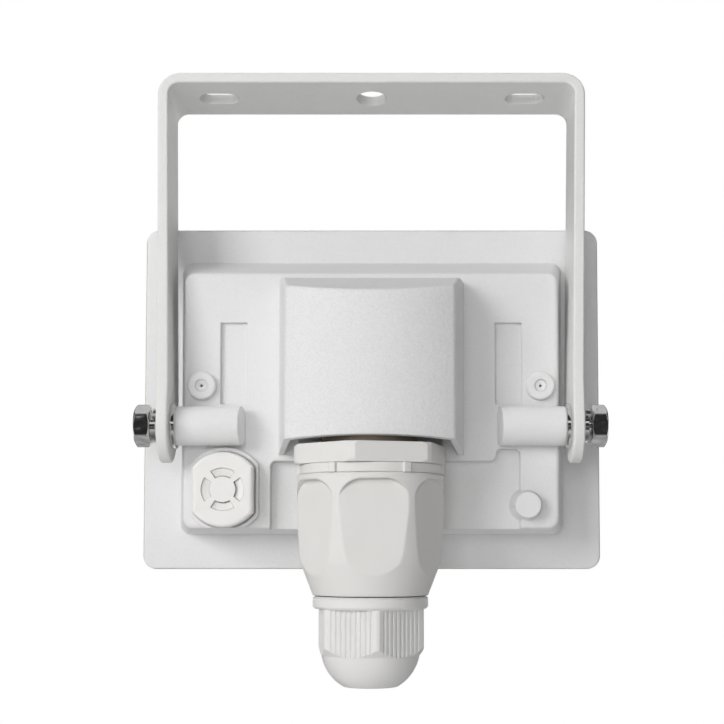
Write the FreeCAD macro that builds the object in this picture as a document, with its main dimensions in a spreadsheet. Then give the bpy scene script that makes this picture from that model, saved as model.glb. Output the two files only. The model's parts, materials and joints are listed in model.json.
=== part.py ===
# Small LED floodlight with a U-bracket, a die-cast housing and a round cable connector.
# Millimetres. The origin is the centre of the bracket's middle hole, on the outer face of its
# web, with +Z up and +Y the way the light shines when the head is level.
# The head is drawn about its pivot axis, upright, and is then tilted and hung below the web.
import FreeCAD, Part
import Sketcher
import math
import os
import re

Vector = FreeCAD.Vector
Rotation = FreeCAD.Rotation
Placement = FreeCAD.Placement

# Sizes, each with the cell name that the drawings use
SIZES = [
    ("bracket_drop", 80.0, "outer face of the web to the pivot axis"),
    ("bracket_width", 16.0, "width of the strip"),
    ("bracket_wall", 2.4, "thickness of the strip"),
    ("leg_room", 2.0, "gap between the block and a leg at the pivot"),
    ("leg_splay", 2.6, "how far a leg spreads from pivot to web"),
    ("leg_straight", 8.0, "upright stretch of a leg above the pivot"),
    ("bend_inside", 2.6, "inner radius of the folds"),
    ("middle_hole", 7.0, "diameter of the centre hole"),
    ("slot_pitch", 70.0, "between the two slots"),
    ("slot_length", 9.0, "slot, end to end"),
    ("slot_width", 5.0, "slot, across"),
    ("edge_round", 0.45, "broken edges of the strip and the castings"),
    ("head_tilt", 10.0, "lean of the head, in degrees"),
    ("running", 0.08, "radial clearance of what turns"),
    ("assembly", 0.05, "clearance of what is slid together"),
    ("past", 1.0, "how far a cut runs past its piece"),
    ("hair", 0.02, "smallest gap between two faces or roundings"),
    ("bolt_radius", 2.5, "pivot bolt shank"),
    ("bolt_reach", 15.0, "pivot bolt shank below the head"),
    ("bolt_head", 3.5, "height of the bolt head"),
    ("bolt_flats", 8.0, "across the flats of the bolt head"),
    ("bolt_face", 0.2, "bevel of the bolt head's faces"),
    ("bolt_point", 0.4, "bevel of the bolt's end"),
    ("spring_wall", 1.3, "section of the spring washer"),
    ("spring_rise", 0.65, "step of the spring washer's split"),
    ("spring_turns", 0.97, "turns of the spring washer"),
    ("spring_turn", 160.0, "where the split of the spring washers is, in degrees"),
    ("flat_washer_radius", 5.0, "outside of the flat washer"),
    ("flat_washer_wall", 1.0, "thickness of the flat washer"),
    ("boss_radius", 4.25, "pivot boss"),
    ("boss_length", 13.6, "pivot boss, along its axis"),
    ("boss_draught", 0.8, "fall of the boss's inner end"),
    ("boss_depth", 11.5, "depth of the bolt's hole in the boss"),
    ("flange_half", 52.0, "half the width of the flange"),
    ("flange_top", 46.8, "top edge of the flange"),
    ("flange_foot", -31.2, "bottom edge of the flange"),
    ("flange_back", 17.5, "rear face of the flange"),
    ("flange_front", 25.5, "front edge of the flange"),
    ("flange_corner", 3.0, "corner radius of the flange"),
    ("block_back", 3.0, "rear face of the block"),
    ("block_half", 41.0, "half the width of the block's rear face"),
    ("block_top", 33.9, "top of the block's rear face"),
    ("block_foot", -22.1, "bottom of the block's rear face"),
    ("block_draught", 2.5, "how much wider each side of the block is at the flange"),
    ("block_root_top", 39.0, "top of the block at the flange"),
    ("block_root_foot", -23.3, "bottom of the block at the flange"),
    ("block_corner", 2.4, "corner radius of the block"),
    ("block_rim", 0.9, "rounding of the block's rear edge"),
    ("hood_half", 20.2, "half the width of the hood where it leaves the block"),
    ("hood_shoulder", 17.9, "half the width of the hood at its shoulder"),
    ("hood_shoulder_back", -12.2, "shoulder of the hood"),
    ("hood_back", -17.0, "crown of the hood"),
    ("hood_foot", -6.1, "lower edge of the hood at the block"),
    ("hood_foot_back", -3.0, "lower edge of the hood at its crown"),
    ("hood_round", 1.6, "rounding of the hood's shoulders"),
    ("hood_lip", 1.2, "wall of the hood round the connector"),
    ("hood_lip_side", 1.212, "wall of the hood's lip, sideways"),
    ("hood_lip_shoulder", 0.864, "shoulder of the lip, in from the hood's shoulder"),
    ("seat_level", -1.0, "face that the connector screws against"),
    ("hood_room_half", 14.0, "half the width of the room in the hood"),
    ("hood_room_back", -12.5, "rear end of the room in the hood"),
    ("hood_room_foot", 3.0, "floor of the room in the hood"),
    ("hood_room_top", 25.0, "ceiling of the room in the hood"),
    ("panel_in", 27.2, "near side of the sunk panels"),
    ("panel_out", 33.0, "far side of the sunk panels"),
    ("panel_foot", 5.0, "bottom of the sunk panels"),
    ("panel_top", 23.0, "top of the sunk panels"),
    ("panel_depth", 1.0, "depth of the sunk panels"),
    ("step_left", 22.0, "left side of the lower step, from the middle"),
    ("step_right", 32.6, "right side of the lower step"),
    ("step_top", -7.4, "top of the lower step"),
    ("step_notch_top", -4.8, "top of the lower step under the right panel"),
    ("step_back", 5.5, "face of the lower step"),
    ("step_corner", 1.2, "corner radius of the lower step"),
    ("dimple_inset", 4.0, "dimple bosses, in from the block's sides"),
    ("dimple_level", 9.0, "height of the dimple bosses"),
    ("dimple_radius", 3.1, "dimple boss at its foot"),
    ("dimple_height", 1.6, "height of a dimple boss"),
    ("dimple_round", 0.5, "rounded crest of a dimple boss"),
    ("dimple_pit", 1.3, "radius of the pit in a dimple boss"),
    ("dimple_pit_depth", 1.0, "depth of the pit"),
    ("blank_inset", 7.0, "blank boss, in from the block's right side"),
    ("blank_level", -17.05, "height of the blank boss"),
    ("blank_root", 3.7, "radius of the blank boss at its foot"),
    ("blank_end", 2.8, "radius of the blank boss at its end"),
    ("blank_back", 0.0, "end face of the blank boss"),
    ("vent_inset", 9.2, "vent, in from the block's left side"),
    ("vent_level", -13.8, "height of the vent"),
    ("vent_pad_radius", 9.25, "raised pad round the vent"),
    ("vent_pad_flats", 14.7, "pad, across its flats"),
    ("vent_pad_back", 1.5, "face of the pad"),
    ("vent_recess", 0.9, "depth of the pad's recess"),
    ("vent_gap", 0.3, "between the cap and the recess"),
    ("vent_radius", 8.1, "vent cap"),
    ("vent_flats", 13.0, "vent cap, across its flats"),
    ("vent_height", 4.7, "height of the vent cap"),
    ("vent_round", 0.8, "rounded edge of the vent cap"),
    ("vent_stem", 4.0, "stem of the vent"),
    ("vent_stem_end", 1.0, "stem past its nut"),
    ("vent_slot_in", 2.8, "inside of the arc slots"),
    ("vent_slot_out", 4.6, "outside of the arc slots"),
    ("vent_slot_half", 34.0, "half the angle of an arc slot, in degrees"),
    ("vent_face", 1.3, "thickness of the vent cap's face"),
    ("vent_wall", 1.2, "wall of the vent's stem"),
    ("vent_room", 0.6, "room behind the vent cap's face"),
    ("vent_room_edge", 0.3, "that room, out from the arc slots"),
    ("vent_film", 0.3, "thickness of the vent's membrane"),
    ("vent_groove", 2.2, "width of the groove for the vent's ring"),
    ("ring_wire", 0.4, "radius of the vent ring's section"),
    ("vent_nut_flats", 11.0, "vent nut, across its flats"),
    ("vent_nut_height", 3.2, "height of the vent nut"),
    ("gland_axis", -5.0, "axis of the connector, behind the pivot"),
    ("entry_radius", 8.0, "screw end of the entry collar"),
    ("entry_neck", 10.3, "neck of the entry collar"),
    ("entry_end", 3.5, "top of the entry collar's screw end"),
    ("entry_bevel", 0.6, "lead-in of the screw end"),
    ("gasket_wall", 1.2, "thickness of the entry gasket"),
    ("collar_top", -4.6, "top of the hexagon collar"),
    ("collar_foot", -8.8, "bottom of the hexagon collar"),
    ("collar_flats", 29.4, "hexagon collar, across its flats"),
    ("collar_corner", 16.6, "rounded corners of the hexagon collar"),
    ("collar_turn", 17.6, "turn of the hexagon collar, in degrees"),
    ("collar_bevel", 0.5, "bevel of the hexagon collar"),
    ("collar_room", 1.0, "gap in the scoop round the collar"),
    ("shell_room", 0.6, "gap in the scoop round the shell"),
    ("shell_room_top", -9.5, "where the scoop narrows"),
    ("spigot_radius", 11.8, "spigot of the entry inside the shell"),
    ("spigot_end", -20.2, "lower end of the spigot"),
    ("entry_bore", 5.8, "bore of the entry"),
    ("entry_funnel", 2.0, "height of the funnel between the two bores"),
    ("spigot_bore", 8.4, "bore of the spigot"),
    ("lock_foot", -10.9, "bottom of the lock ring"),
    ("lock_rib", 0.6, "height of the lock ring's ribs"),
    ("lock_rib_width", 1.6, "width of the lock ring's ribs"),
    ("shell_radius", 15.6, "shell at its top"),
    ("shell_bevel", 0.4, "bevel of the shell's top edge"),
    ("shell_fall", 0.05, "fall of the shell's side halfway to its waist"),
    ("shell_waist", 15.1, "shell above its cone"),
    ("shell_waist_level", -27.0, "height of the shell's waist"),
    ("shell_cone_top", -29.5, "top of the shell's cone"),
    ("shell_cone_radius", 14.8, "shell at the top of its cone"),
    ("shell_end", -36.2, "bottom of the shell's cone"),
    ("shell_end_radius", 12.2, "shell at the bottom of its cone"),
    ("facet_depth", 1.75, "depth of the scooped flats of the shell"),
    ("facet_width", 14.6, "width of a scooped flat"),
    ("facet_top", -12.2, "top of the scooped flats"),
    ("facet_foot", -33.8, "bottom of the scooped flats"),
    ("facet_corner", 5.0, "corner radius of a scooped flat"),
    ("facet_turn", 3.5, "turn of the scooped flats, in degrees"),
    ("insert_radius", 9.6, "contact insert"),
    ("insert_top", -22.0, "top of the contact insert"),
    ("insert_foot", -31.0, "bottom of the contact insert"),
    ("insert_bevel", 0.5, "bevel of the contact insert"),
    ("insert_gap", 0.1, "gap over the contact insert"),
    ("insert_funnel", 3.0, "height of the funnel under the contact insert"),
    ("contact_wall", 0.4, "room for the wall of a contact socket"),
    ("contact_gap", 0.03, "gap round a contact socket"),
    ("contact_inset", 0.3, "contact socket, in from the insert's foot"),
    ("contact_depth", 4.0, "depth of a contact socket's bore"),
    ("tail_radius", 9.0, "threaded tail of the shell"),
    ("tail_end", -45.0, "bottom of the shell's tail"),
    ("tail_bore", 6.8, "bore of the shell's tail"),
    ("nut_gap", 0.2, "gap between shell and dome nut"),
    ("nut_ring_foot", -39.0, "bottom of the dome nut's ring"),
    ("nut_flats", 20.9, "dome nut, across its flats"),
    ("nut_corner", 11.9, "rounded corners of the dome nut"),
    ("nut_turn", 8.2, "turn of the dome nut, in degrees"),
    ("groove_pitch", 1.1, "between the grooves of the dome nut's flats"),
    ("groove_width", 0.6, "width of a groove"),
    ("groove_depth", 0.3, "depth of a groove"),
    ("nut_hex_foot", -48.7, "bottom of the dome nut's hexagon"),
    ("nut_chamfer", 1.6, "height of the chamfer under the hexagon"),
    ("nut_land", 0.8, "height of the step under the hexagon"),
    ("nut_step", 0.2, "width of that step"),
    ("dome_radius", 10.2, "top of the dome"),
    ("dome_end", -55.3, "end of the dome nut"),
    ("dome_end_radius", 5.8, "flat end of the dome"),
    ("dome_round", 9.5, "radius of the dome's outline"),
    ("cable_hole", 4.4, "radius of the hole in the dome nut"),
    ("cable_hole_land", 2.0, "height of the hole's straight part"),
    ("cage_side", 0.2, "clamping cage, in from the nut"),
    ("cage_rim", 1.0, "height of the cage's closed rim"),
    ("cage_height", 5.6, "height of the cage's fingers below the tail"),
    ("cage_tip_out", 1.9, "outside of the finger tips, in from the tail's radius"),
    ("cage_tip_in", 3.3, "inside of the finger tips, in from the tail's radius"),
    ("cage_gap", 1.0, "gap between two fingers"),
    ("grommet_bore", 3.5, "radius of the grommet's bore"),
    ("grommet_rise", 5.0, "how far the grommet reaches into the tail"),
    ("glass_wall", 3.0, "thickness of the front glass"),
    ("glass_corner", 1.5, "corner radius of the front glass"),
    ("rim_wall", 2.6, "rim of the flange round the glass"),
    ("seal_wall", 0.6, "silicone round and behind the glass"),
    ("rim_proud", 0.1, "rim in front of the glass"),
    ("ledge", 3.4, "ledge that the glass lies on"),
    ("side_wall", 2.5, "wall beside the board well"),
    ("end_wall", 3.35, "wall above and below the board well"),
    ("well_floor", 13.0, "floor of the board well"),
    ("tray_floor", 20.0, "floor of the outer tray"),
    ("room_ledge", 4.5, "seat of the LED board beside the driver room"),
    ("room_foot", 2.0, "bottom of the driver room"),
    ("room_top", 29.0, "top of the driver room"),
    ("room_back", 5.5, "rear wall of the driver room, inside"),
    ("low_room_in", 21.0, "near side of the two low rooms"),
    ("low_room_ledge", 0.1, "low rooms, in from the board well's sides"),
    ("low_room_wall", 2.3, "wall under the two low rooms"),
    ("low_room_top", -3.0, "top of the two low rooms"),
    ("low_room_back", 8.0, "rear wall of the two low rooms, inside"),
    ("board_gap", 0.8, "LED board, in from the well's walls"),
    ("board_wall", 1.6, "thickness of the boards"),
    ("board_hole_gap", 0.1, "LED board's holes round a screw"),
    ("pad_wall", 0.5, "thickness of the thermal pad"),
    ("pad_inset", 0.5, "thermal pad, in from the LED board's edge"),
    ("pad_hole_gap", 0.3, "thermal pad's holes round a screw"),
    ("led_pitch_across", 16.0, "between LEDs, sideways"),
    ("led_pitch_up", 14.0, "between LEDs, upwards"),
    ("led_side", 3.5, "side of an LED"),
    ("led_wall", 0.7, "height of an LED"),
    ("screw_radius", 1.5, "board screw"),
    ("screw_head", 2.7, "radius of a board screw's head"),
    ("screw_head_wall", 1.7, "height of a board screw's head"),
    ("screw_reach", 6.4, "length of a board screw"),
    ("screw_inset", 4.7, "upper board screws, in from the board's sides"),
    ("screw_across_foot", 17.0, "lower board screws, from the middle"),
    ("screw_edge", 4.0, "board screws, in from the board's ends"),
    ("driver_gap", 1.5, "driver board, in from the ends of its room"),
    ("driver_side", 3.0, "driver board, in from the sides of its room"),
    ("driver_back", 8.0, "rear face of the driver board"),
    ("post_radius", 2.4, "posts that carry the driver board"),
    ("post_inset", 3.2, "posts, in from the edges of the driver board"),
    ("post_floor", 0.4, "casting left under a post's hole"),
    ("driver_screw_head", 2.2, "radius of a driver screw's head"),
    ("driver_screw_wall", 1.3, "height of a driver screw's head"),
    ("driver_screw_grip", 1.9, "driver screw below its board"),
    ("reflector_wall", 0.8, "wall of the reflector"),
    ("reflector_side", 0.64, "reflector's sloping sides, measured across"),
    ("reflector_back", 15.3, "rear face of the reflector's floor"),
    ("bowl_slope", 2.0, "reflector's floor, in from the LED board's edge"),
    ("bowl_gap", 0.3, "reflector, in from the casting"),
    ("window_gap", 1.0, "reflector's windows round an LED"),
    ("screw_window_gap", 0.4, "reflector's holes round a screw head"),
    ("lead_radius", 1.1, "supply leads"),
    ("lead_pitch", 4.0, "between the supply leads"),
    ("lead_bend", 3.0, "bend of the supply leads"),
    ("lead_grip", 1.5, "how far a lead reaches into its port"),
    ("transformer_width", 11.5, "transformer, across"),
    ("transformer_depth", 11.0, "transformer, off its board"),
    ("transformer_height", 12.0, "transformer, upwards"),
    ("terminal_width", 15.0, "terminal block, across"),
    ("terminal_depth", 6.5, "terminal block, off its board"),
    ("terminal_height", 6.2, "terminal block, upwards"),
    ("terminal_port", 2.0, "depth of the terminal block's ports"),
    ("can_radius", 4.0, "capacitor"),
    ("can_length", 13.0, "length of the capacitor"),
    ("can_gap", 1.0, "capacitor, from the middle"),
    ("part_row", 7.5, "from the driver board's foot to its upper row of parts"),
]

# Lengths that follow from the sizes
LEG_INSIDE = "(block_half + leg_room)"
LEG_OUTSIDE = "(block_half + leg_room + bracket_wall)"
WEB_OUTSIDE = "(block_half + leg_room + bracket_wall + leg_splay)"
BOSS_END = "(block_half + leg_room - flat_washer_wall)"
ROOT_HALF = "(block_half + block_draught)"
MIDDLE = "((flange_top + flange_foot) / 2)"
VENT_ACROSS = "(vent_inset - block_half)"
VENT_SEAT = "(vent_pad_back + vent_recess)"
DIMPLE_ACROSS = "(block_half - dimple_inset)"
DIMPLE_CREST = "(block_back - dimple_height)"
FACET_REACH = "(shell_radius - facet_depth)"
WELL_HALF = "(block_half - side_wall)"
WELL_RISE = "((block_root_top - block_root_foot) / 2 - end_wall)"
ROOM_HALF = "(block_half - side_wall - room_ledge)"
BOARD_HALF = "(block_half - side_wall - board_gap)"
BOARD_RISE = f"({WELL_RISE} - board_gap)"
DRIVER_HALF = f"({ROOM_HALF} - driver_side)"
DRIVER_FOOT = "(room_foot + driver_gap)"
DRIVER_TOP = "(room_top - driver_gap)"
TERMINAL_FACE = "(driver_back - terminal_depth)"
PORT_LEVEL = f"({DRIVER_FOOT} + terminal_height / 2)"
GLASS_BACK = "(flange_front - rim_proud - glass_wall)"
SEAT_HALF = "(flange_half - rim_wall)"
SEAT_RISE = "((flange_top - flange_foot) / 2 - rim_wall)"

# How near an edge lies to the place that it is looked for, and more loosely
NEAR, LOOSE = 0.01, 0.3
GROOVES_ON_A_FLAT = 9

document = FreeCAD.newDocument("Floodlight")
sheet = document.addObject("Spreadsheet::Sheet", "Sizes")
for row, (alias, size, note) in enumerate(SIZES, start=1):
    sheet.set(f"A{row}", alias)
    sheet.set(f"B{row}", str(size))
    sheet.set(f"C{row}", note)
    sheet.setAlias(f"B{row}", alias)
document.recompute()
ALIASES = {alias for alias, size, note in SIZES}
NODES = []
VOLUMES = {}


def bound(text):
    """The expression with each size written as a cell of the sheet."""
    return re.sub(r"[a-z_]+", lambda word: "Sizes." + word[0] if word[0] in ALIASES else word[0], str(text))


def value(text):
    """What an expression comes to now."""
    found = sheet.evalExpression(bound(text))
    return float(getattr(found, "Value", found))


def tie(thing, **expressions):
    """Bind properties of an object to expressions on the sheet."""
    for name, text in expressions.items():
        thing.setExpression(name.replace("__", "."), bound(text))
    return thing


def in_head(thing, across="0", depth="0", level="0"):
    """Hang a piece in the tilted head, its own origin at the given place from the pivot."""
    thing.Placement = Placement(Vector(), Rotation(Vector(1, 0, 0), value("head_tilt")))
    across, depth, level = f"({across})", f"({depth})", f"({level})"
    return tie(thing, Placement__Rotation__Angle="head_tilt",
               Placement__Base__x=across,
               Placement__Base__y=f"{depth} * cos(head_tilt) - {level} * sin(head_tilt)",
               Placement__Base__z=f"{depth} * sin(head_tilt) + {level} * cos(head_tilt) - bracket_drop")


def on_gland(thing):
    """Hang a piece on the connector's axis."""
    return in_head(thing, depth="gland_axis")


def node(label, thing):
    """Keep a finished piece under its own name."""
    thing.Label = label
    NODES.append(thing)
    return thing


def body(name):
    return document.addObject("PartDesign::Body", name)


def drawing(owner, plane, name, at=None):
    """A sketch on one of a body's own planes, moved along the plane's normal."""
    drawn = owner.newObject("Sketcher::SketchObject", name)
    base = next(plane_of for plane_of in owner.Origin.OriginFeatures if plane_of.Role == plane)
    drawn.AttachmentSupport = (base, [""])
    drawn.MapMode = "FlatFace"
    if at is not None:
        tie(drawn, AttachmentOffset__Base__z=at)
    return drawn


def arc_between(start, end, radius):
    """An arc from start to end; a positive radius bulges to the right of the way."""
    chord = end - start
    reach = math.sqrt(max(0.0, radius * radius - chord.Length ** 2 / 4))
    left = Vector(-chord.y, chord.x, 0).normalize()
    side = 1 if radius > 0 else -1
    centre = (start + end) / 2 + left * (side * reach)
    first, last = (start, end) if side > 0 else (end, start)
    angles = [math.atan2(point.y - centre.y, point.x - centre.x) for point in (first, last)]
    return Part.ArcOfCircle(Part.Circle(centre, Vector(0, 0, 1), abs(radius)), *angles)


def settle(drawn, rules):
    """Add constraints to a sketch in one go, then bind those that have an expression."""
    first = drawn.ConstraintCount
    drawn.addConstraint([Sketcher.Constraint(*rule[:-1]) for rule in rules])
    for index, rule in enumerate(rules, start=first):
        if rule[-1] is not None:
            drawn.setExpression(f"Constraints[{index}]", bound(rule[-1]))
    return drawn


def outline(drawn, corners):
    """Draw a closed outline, with each corner's place bound to the sheet.

    A corner is two expressions, and a third one is the radius of an arc to the next corner.
    """
    places = [Vector(value(corner[0]), value(corner[1]), 0) for corner in corners]
    ends, rules = [], []
    for index, corner in enumerate(corners):
        start, end = places[index], places[(index + 1) % len(corners)]
        if len(corner) == 3:
            radius = value(corner[2])
            edge = drawn.addGeometry(arc_between(start, end, radius), False)
            if abs(2 * abs(radius) - start.distanceToPoint(end)) < 1e-6:
                upright = abs(start.x - end.x) < 1e-6
                kind, text = ("DistanceX", corner[0]) if upright else ("DistanceY", corner[1])
                rules.append((kind, -1, 1, edge, 3, value(text), text))
            else:
                rules.append(("Radius", edge, abs(radius), f"abs({corner[2]})"))
            ends.append((edge, 1, 2) if radius > 0 else (edge, 2, 1))
        else:
            edge = drawn.addGeometry(Part.LineSegment(start, end), False)
            ends.append((edge, 1, 2))
    for index, (edge, start, end) in enumerate(ends):
        after, after_start = ends[(index + 1) % len(ends)][:2]
        rules.append(("Coincident", edge, end, after, after_start, None))
        for kind, text in zip(("DistanceX", "DistanceY"), corners[index]):
            rules.append((kind, -1, 1, edge, start, value(text), text))
    return settle(drawn, rules)


def circle(drawn, across, level, radius):
    """Draw a circle whose centre and radius are bound to the sheet."""
    centre = Vector(value(across), value(level), 0)
    edge = drawn.addGeometry(Part.Circle(centre, Vector(0, 0, 1), value(radius)), False)
    return settle(drawn, [("DistanceX", -1, 1, edge, 3, value(across), across),
                          ("DistanceY", -1, 1, edge, 3, value(level), level),
                          ("Radius", edge, value(radius), radius)])


def rectangle(drawn, left, right, low, high):
    return outline(drawn, [(left, low), (right, low), (right, high), (left, high)])


def rounded(drawn, left, right, low, high, radius):
    """Draw a rectangle with round corners."""
    return outline(drawn, [
        (f"{left} + {radius}", low), (f"{right} - {radius}", low, radius), (right, f"{low} + {radius}"),
        (right, f"{high} - {radius}", radius), (f"{right} - {radius}", high),
        (f"{left} + {radius}", high, radius), (left, f"{high} - {radius}"),
        (left, f"{low} + {radius}", radius)])


def slot(drawn, across, length, width):
    """Draw a slot along the sketch's first axis, centred on the second."""
    flat = f"(({length}) / 2 - ({width}) / 2)"
    near, far = f"({across}) - {flat}", f"({across}) + {flat}"
    half = f"({width}) / 2"
    return outline(drawn, [(near, f"-{half}"), (far, f"-{half}", half), (far, half), (near, half, half)])


def hexagon(drawn, flats, turn):
    """Draw a hexagon with one flat facing the direction turn, in degrees from the first axis."""
    corners = []
    for corner in range(6):
        angle = f"({turn} + {30 + 60 * corner})"
        reach = f"({flats}) / 2 / cos(30)"
        corners.append((f"{reach} * cos{angle}", f"{reach} * sin{angle}"))
    return outline(drawn, corners)


def feature(owner, kind, name, profile, **expressions):
    """Add a PartDesign feature made from a profile and stop if it changes nothing."""
    before = VOLUMES.get(owner.Name, 0.0)
    made = owner.newObject("PartDesign::" + kind, name)
    made.Profile = profile
    if "length" in expressions:
        tie(made, Length=expressions["length"])
    if "angle" in expressions:
        tie(made, Angle=expressions["angle"])
    for setting in ("Reversed", "Midplane", "ReferenceAxis"):
        if setting in expressions:
            setattr(made, setting, expressions[setting])
    if expressions.get("through"):
        made.Type = "ThroughAll"
    document.recompute()
    VOLUMES[owner.Name] = made.Shape.Volume
    change = VOLUMES[owner.Name] - before
    grows = kind in ("Pad", "Revolution")
    if (change > 0) != grows or abs(change) < 1e-3:
        raise RuntimeError(f"{name} in {owner.Name} changed the volume by {change:.3f}")
    return made


def edges_of(made, wanted):
    """Names of the edges of a feature whose middle and direction pass a test."""
    names = []
    for index, edge in enumerate(made.Shape.Edges, start=1):
        middle = edge.valueAt((edge.FirstParameter + edge.LastParameter) / 2)
        run = edge.tangentAt((edge.FirstParameter + edge.LastParameter) / 2)
        if wanted(middle, run, edge):
            names.append(f"Edge{index}")
    return names


def dress(owner, kind, name, made, wanted, size):
    """Round or chamfer the edges of a feature that pass a test."""
    names = edges_of(made, wanted)
    if not names:
        raise RuntimeError(f"{name} in {owner.Name} finds no edge")
    dressed = owner.newObject("PartDesign::" + kind, name)
    dressed.Base = (made, names)
    tie(dressed, **{"Radius" if kind == "Fillet" else "Size": size})
    owner.Tip = dressed
    document.recompute()
    return dressed


def repeat(owner, kind, name, originals, **settings):
    """Repeat features of a body in a ring, a row or a mirror."""
    ring = owner.newObject("PartDesign::" + kind, name)
    ring.Originals = originals
    for setting, given in settings.items():
        setattr(ring, setting, given)
    owner.Tip = ring
    document.recompute()
    return ring


def origin_part(owner, role):
    return next(part for part in owner.Origin.OriginFeatures if part.Role == role)


def turned(name, plane, axis, profile, hang=None):
    """A turned piece: a closed profile spun about one axis of its sketch."""
    made = body(name)
    drawn = outline(drawing(made, plane, name + "_profile"), profile)
    feature(made, "Revolution", name + "_turn", drawn, ReferenceAxis=(drawn, [axis]))
    if hang:
        hang(made)
    return made


# Bracket
def make_bracket():
    """One strip folded twice, with round leg ends, a centre hole and two slots."""
    strip = body("bracket")
    foot = "-bracket_drop - bracket_width / 2"
    knee = "leg_straight - bracket_drop"
    right = [(LEG_OUTSIDE, foot), (LEG_OUTSIDE, knee), (WEB_OUTSIDE, "0")]
    inner = [(f"{WEB_OUTSIDE} - bracket_wall", "-bracket_wall"), (LEG_INSIDE, knee), (LEG_INSIDE, foot)]
    mirrored = [[(f"-({across})", level) for across, level in reversed(side)] for side in (inner, right)]
    profile = outline(drawing(strip, "XZ_Plane", "strip_profile"), right + mirrored[1] + mirrored[0] + inner)
    pad = feature(strip, "Pad", "strip", profile, length="bracket_width", Midplane=True)
    half, wall, drop = value(WEB_OUTSIDE), value("bracket_wall"), value("bracket_drop")
    inner = dress(strip, "Fillet", "inner_folds", pad,
                  lambda middle, run, edge: abs(middle.z + wall) < NEAR and abs(run.y) > 0.9
                  and abs(abs(middle.x) - half + wall) < NEAR, "bend_inside")
    outer = dress(strip, "Fillet", "outer_folds", inner,
                  lambda middle, run, edge: abs(middle.z) < NEAR and abs(run.y) > 0.9
                  and abs(abs(middle.x) - half) < NEAR, "bend_inside + bracket_wall")
    lowest = -drop - value("bracket_width") / 2
    ends = dress(strip, "Fillet", "round_leg_ends", outer,
                 lambda middle, run, edge: abs(middle.z - lowest) < NEAR and abs(run.x) > 0.9,
                 "bracket_width / 2 - hair")
    side = value("bracket_width") / 2
    dress(strip, "Fillet", "broken_edges", ends, lambda middle, run, edge: abs(abs(middle.y) - side) < LOOSE
          and abs(run.y) < 0.8, "edge_round")
    holes = drawing(strip, "XY_Plane", "web_holes")
    circle(holes, "0", "0", "middle_hole / 2")
    slot(holes, "slot_pitch / 2", "slot_length", "slot_width")
    slot(holes, "-slot_pitch / 2", "slot_length", "slot_width")
    feature(strip, "Pocket", "web_hole_cut", holes, length="2 * bracket_wall")
    pivots = circle(drawing(strip, "YZ_Plane", "pivot_holes"), "0", "-bracket_drop", "bolt_radius + running")
    feature(strip, "Pocket", "pivot_hole_cut", pivots, length=f"4 * {WEB_OUTSIDE}", Midplane=True)
    node("bracket", strip)


# Housing
def make_block(case):
    """The raised block: a draughted casting with round corners and a soft rear edge."""
    root = rectangle(drawing(case, "XZ_Plane", "block_root", "-flange_back"),
                     f"-{ROOT_HALF}", ROOT_HALF, "block_root_foot", "block_root_top")
    face = rectangle(drawing(case, "XZ_Plane", "block_face", "-block_back"),
                     "-block_half", "block_half", "block_foot", "block_top")
    block = case.newObject("PartDesign::AdditiveLoft", "block")
    block.Profile = root
    block.Sections = [face]
    block.Ruled = True
    document.recompute()
    corners = dress(case, "Fillet", "block_corners", block,
                    lambda middle, run, edge: abs(run.y) > 0.8, "block_corner")
    rear = value("block_back")
    return dress(case, "Fillet", "block_rim_round", corners,
                 lambda middle, run, edge: abs(middle.y - rear) < NEAR, "block_rim")


def make_hood(case):
    """The arched hood over the cable entry, its top in line with the block's sloping top."""
    plan = drawing(case, "XY_Plane", "hood_plan", "step_top - 2 * past")
    crown = crown_radius()
    outline(plan, [("-hood_half", "block_back"), ("-hood_shoulder", "hood_shoulder_back", crown),
                   ("hood_shoulder", "hood_shoulder_back"), ("hood_half", "block_back"),
                   ("hood_half", "step_back + past"), ("-hood_half", "step_back + past")])
    hood = feature(case, "Pad", "hood", plan, length="block_top - step_top")
    shoulder = value("hood_shoulder_back")
    soft = dress(case, "Fillet", "hood_shoulders", hood,
                 lambda middle, run, edge: abs(middle.y - shoulder) < NEAR and abs(run.z) > 0.9,
                 "hood_round")
    fall = "(block_root_top - block_top) / (flange_back - block_back)"
    behind, above = "hood_back - past", "block_root_top + 5 * past"
    top = outline(drawing(case, "YZ_Plane", "hood_top_side"),
                  [("block_back + past", f"block_top + {fall} * past"),
                   (behind, f"block_top + {fall} * ({behind} - block_back)"),
                   (behind, above), ("block_back + past", above)])
    sloped = feature(case, "Pocket", "hood_top_cut", top, length="3 * hood_half", Midplane=True)
    rise = "(hood_foot_back - hood_foot) / (block_back - hood_back)"
    below = "step_top - 4 * past"
    foot = outline(drawing(case, "YZ_Plane", "hood_foot_side"),
                   [("block_back", "hood_foot"), ("block_back", below), (behind, below),
                    (behind, f"hood_foot + {rise} * (block_back - ({behind}))")])
    lower = feature(case, "Pocket", "hood_foot_cut", foot, length="3 * hood_half", Midplane=True)
    slope = (value("block_top") - value("block_root_top")) / (value("block_back") - value("flange_back"))
    rear = value("block_back")

    def on_top_rim(middle, run, edge):
        level = value("block_top") + slope * (middle.y - rear)
        rim = value("block_rim")
        return middle.y < rear - rim / 2 and abs(middle.z - level) < 5 * NEAR and edge.Length > rim
    return dress(case, "Fillet", "hood_rim_round", lower, on_top_rim, "block_rim")


def crown_radius():
    """The radius of the hood's crown, from its width and rise."""
    rise = "(hood_shoulder_back - hood_back)"
    return f"((hood_shoulder * hood_shoulder + {rise} * {rise}) / 2 / {rise})"


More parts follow.
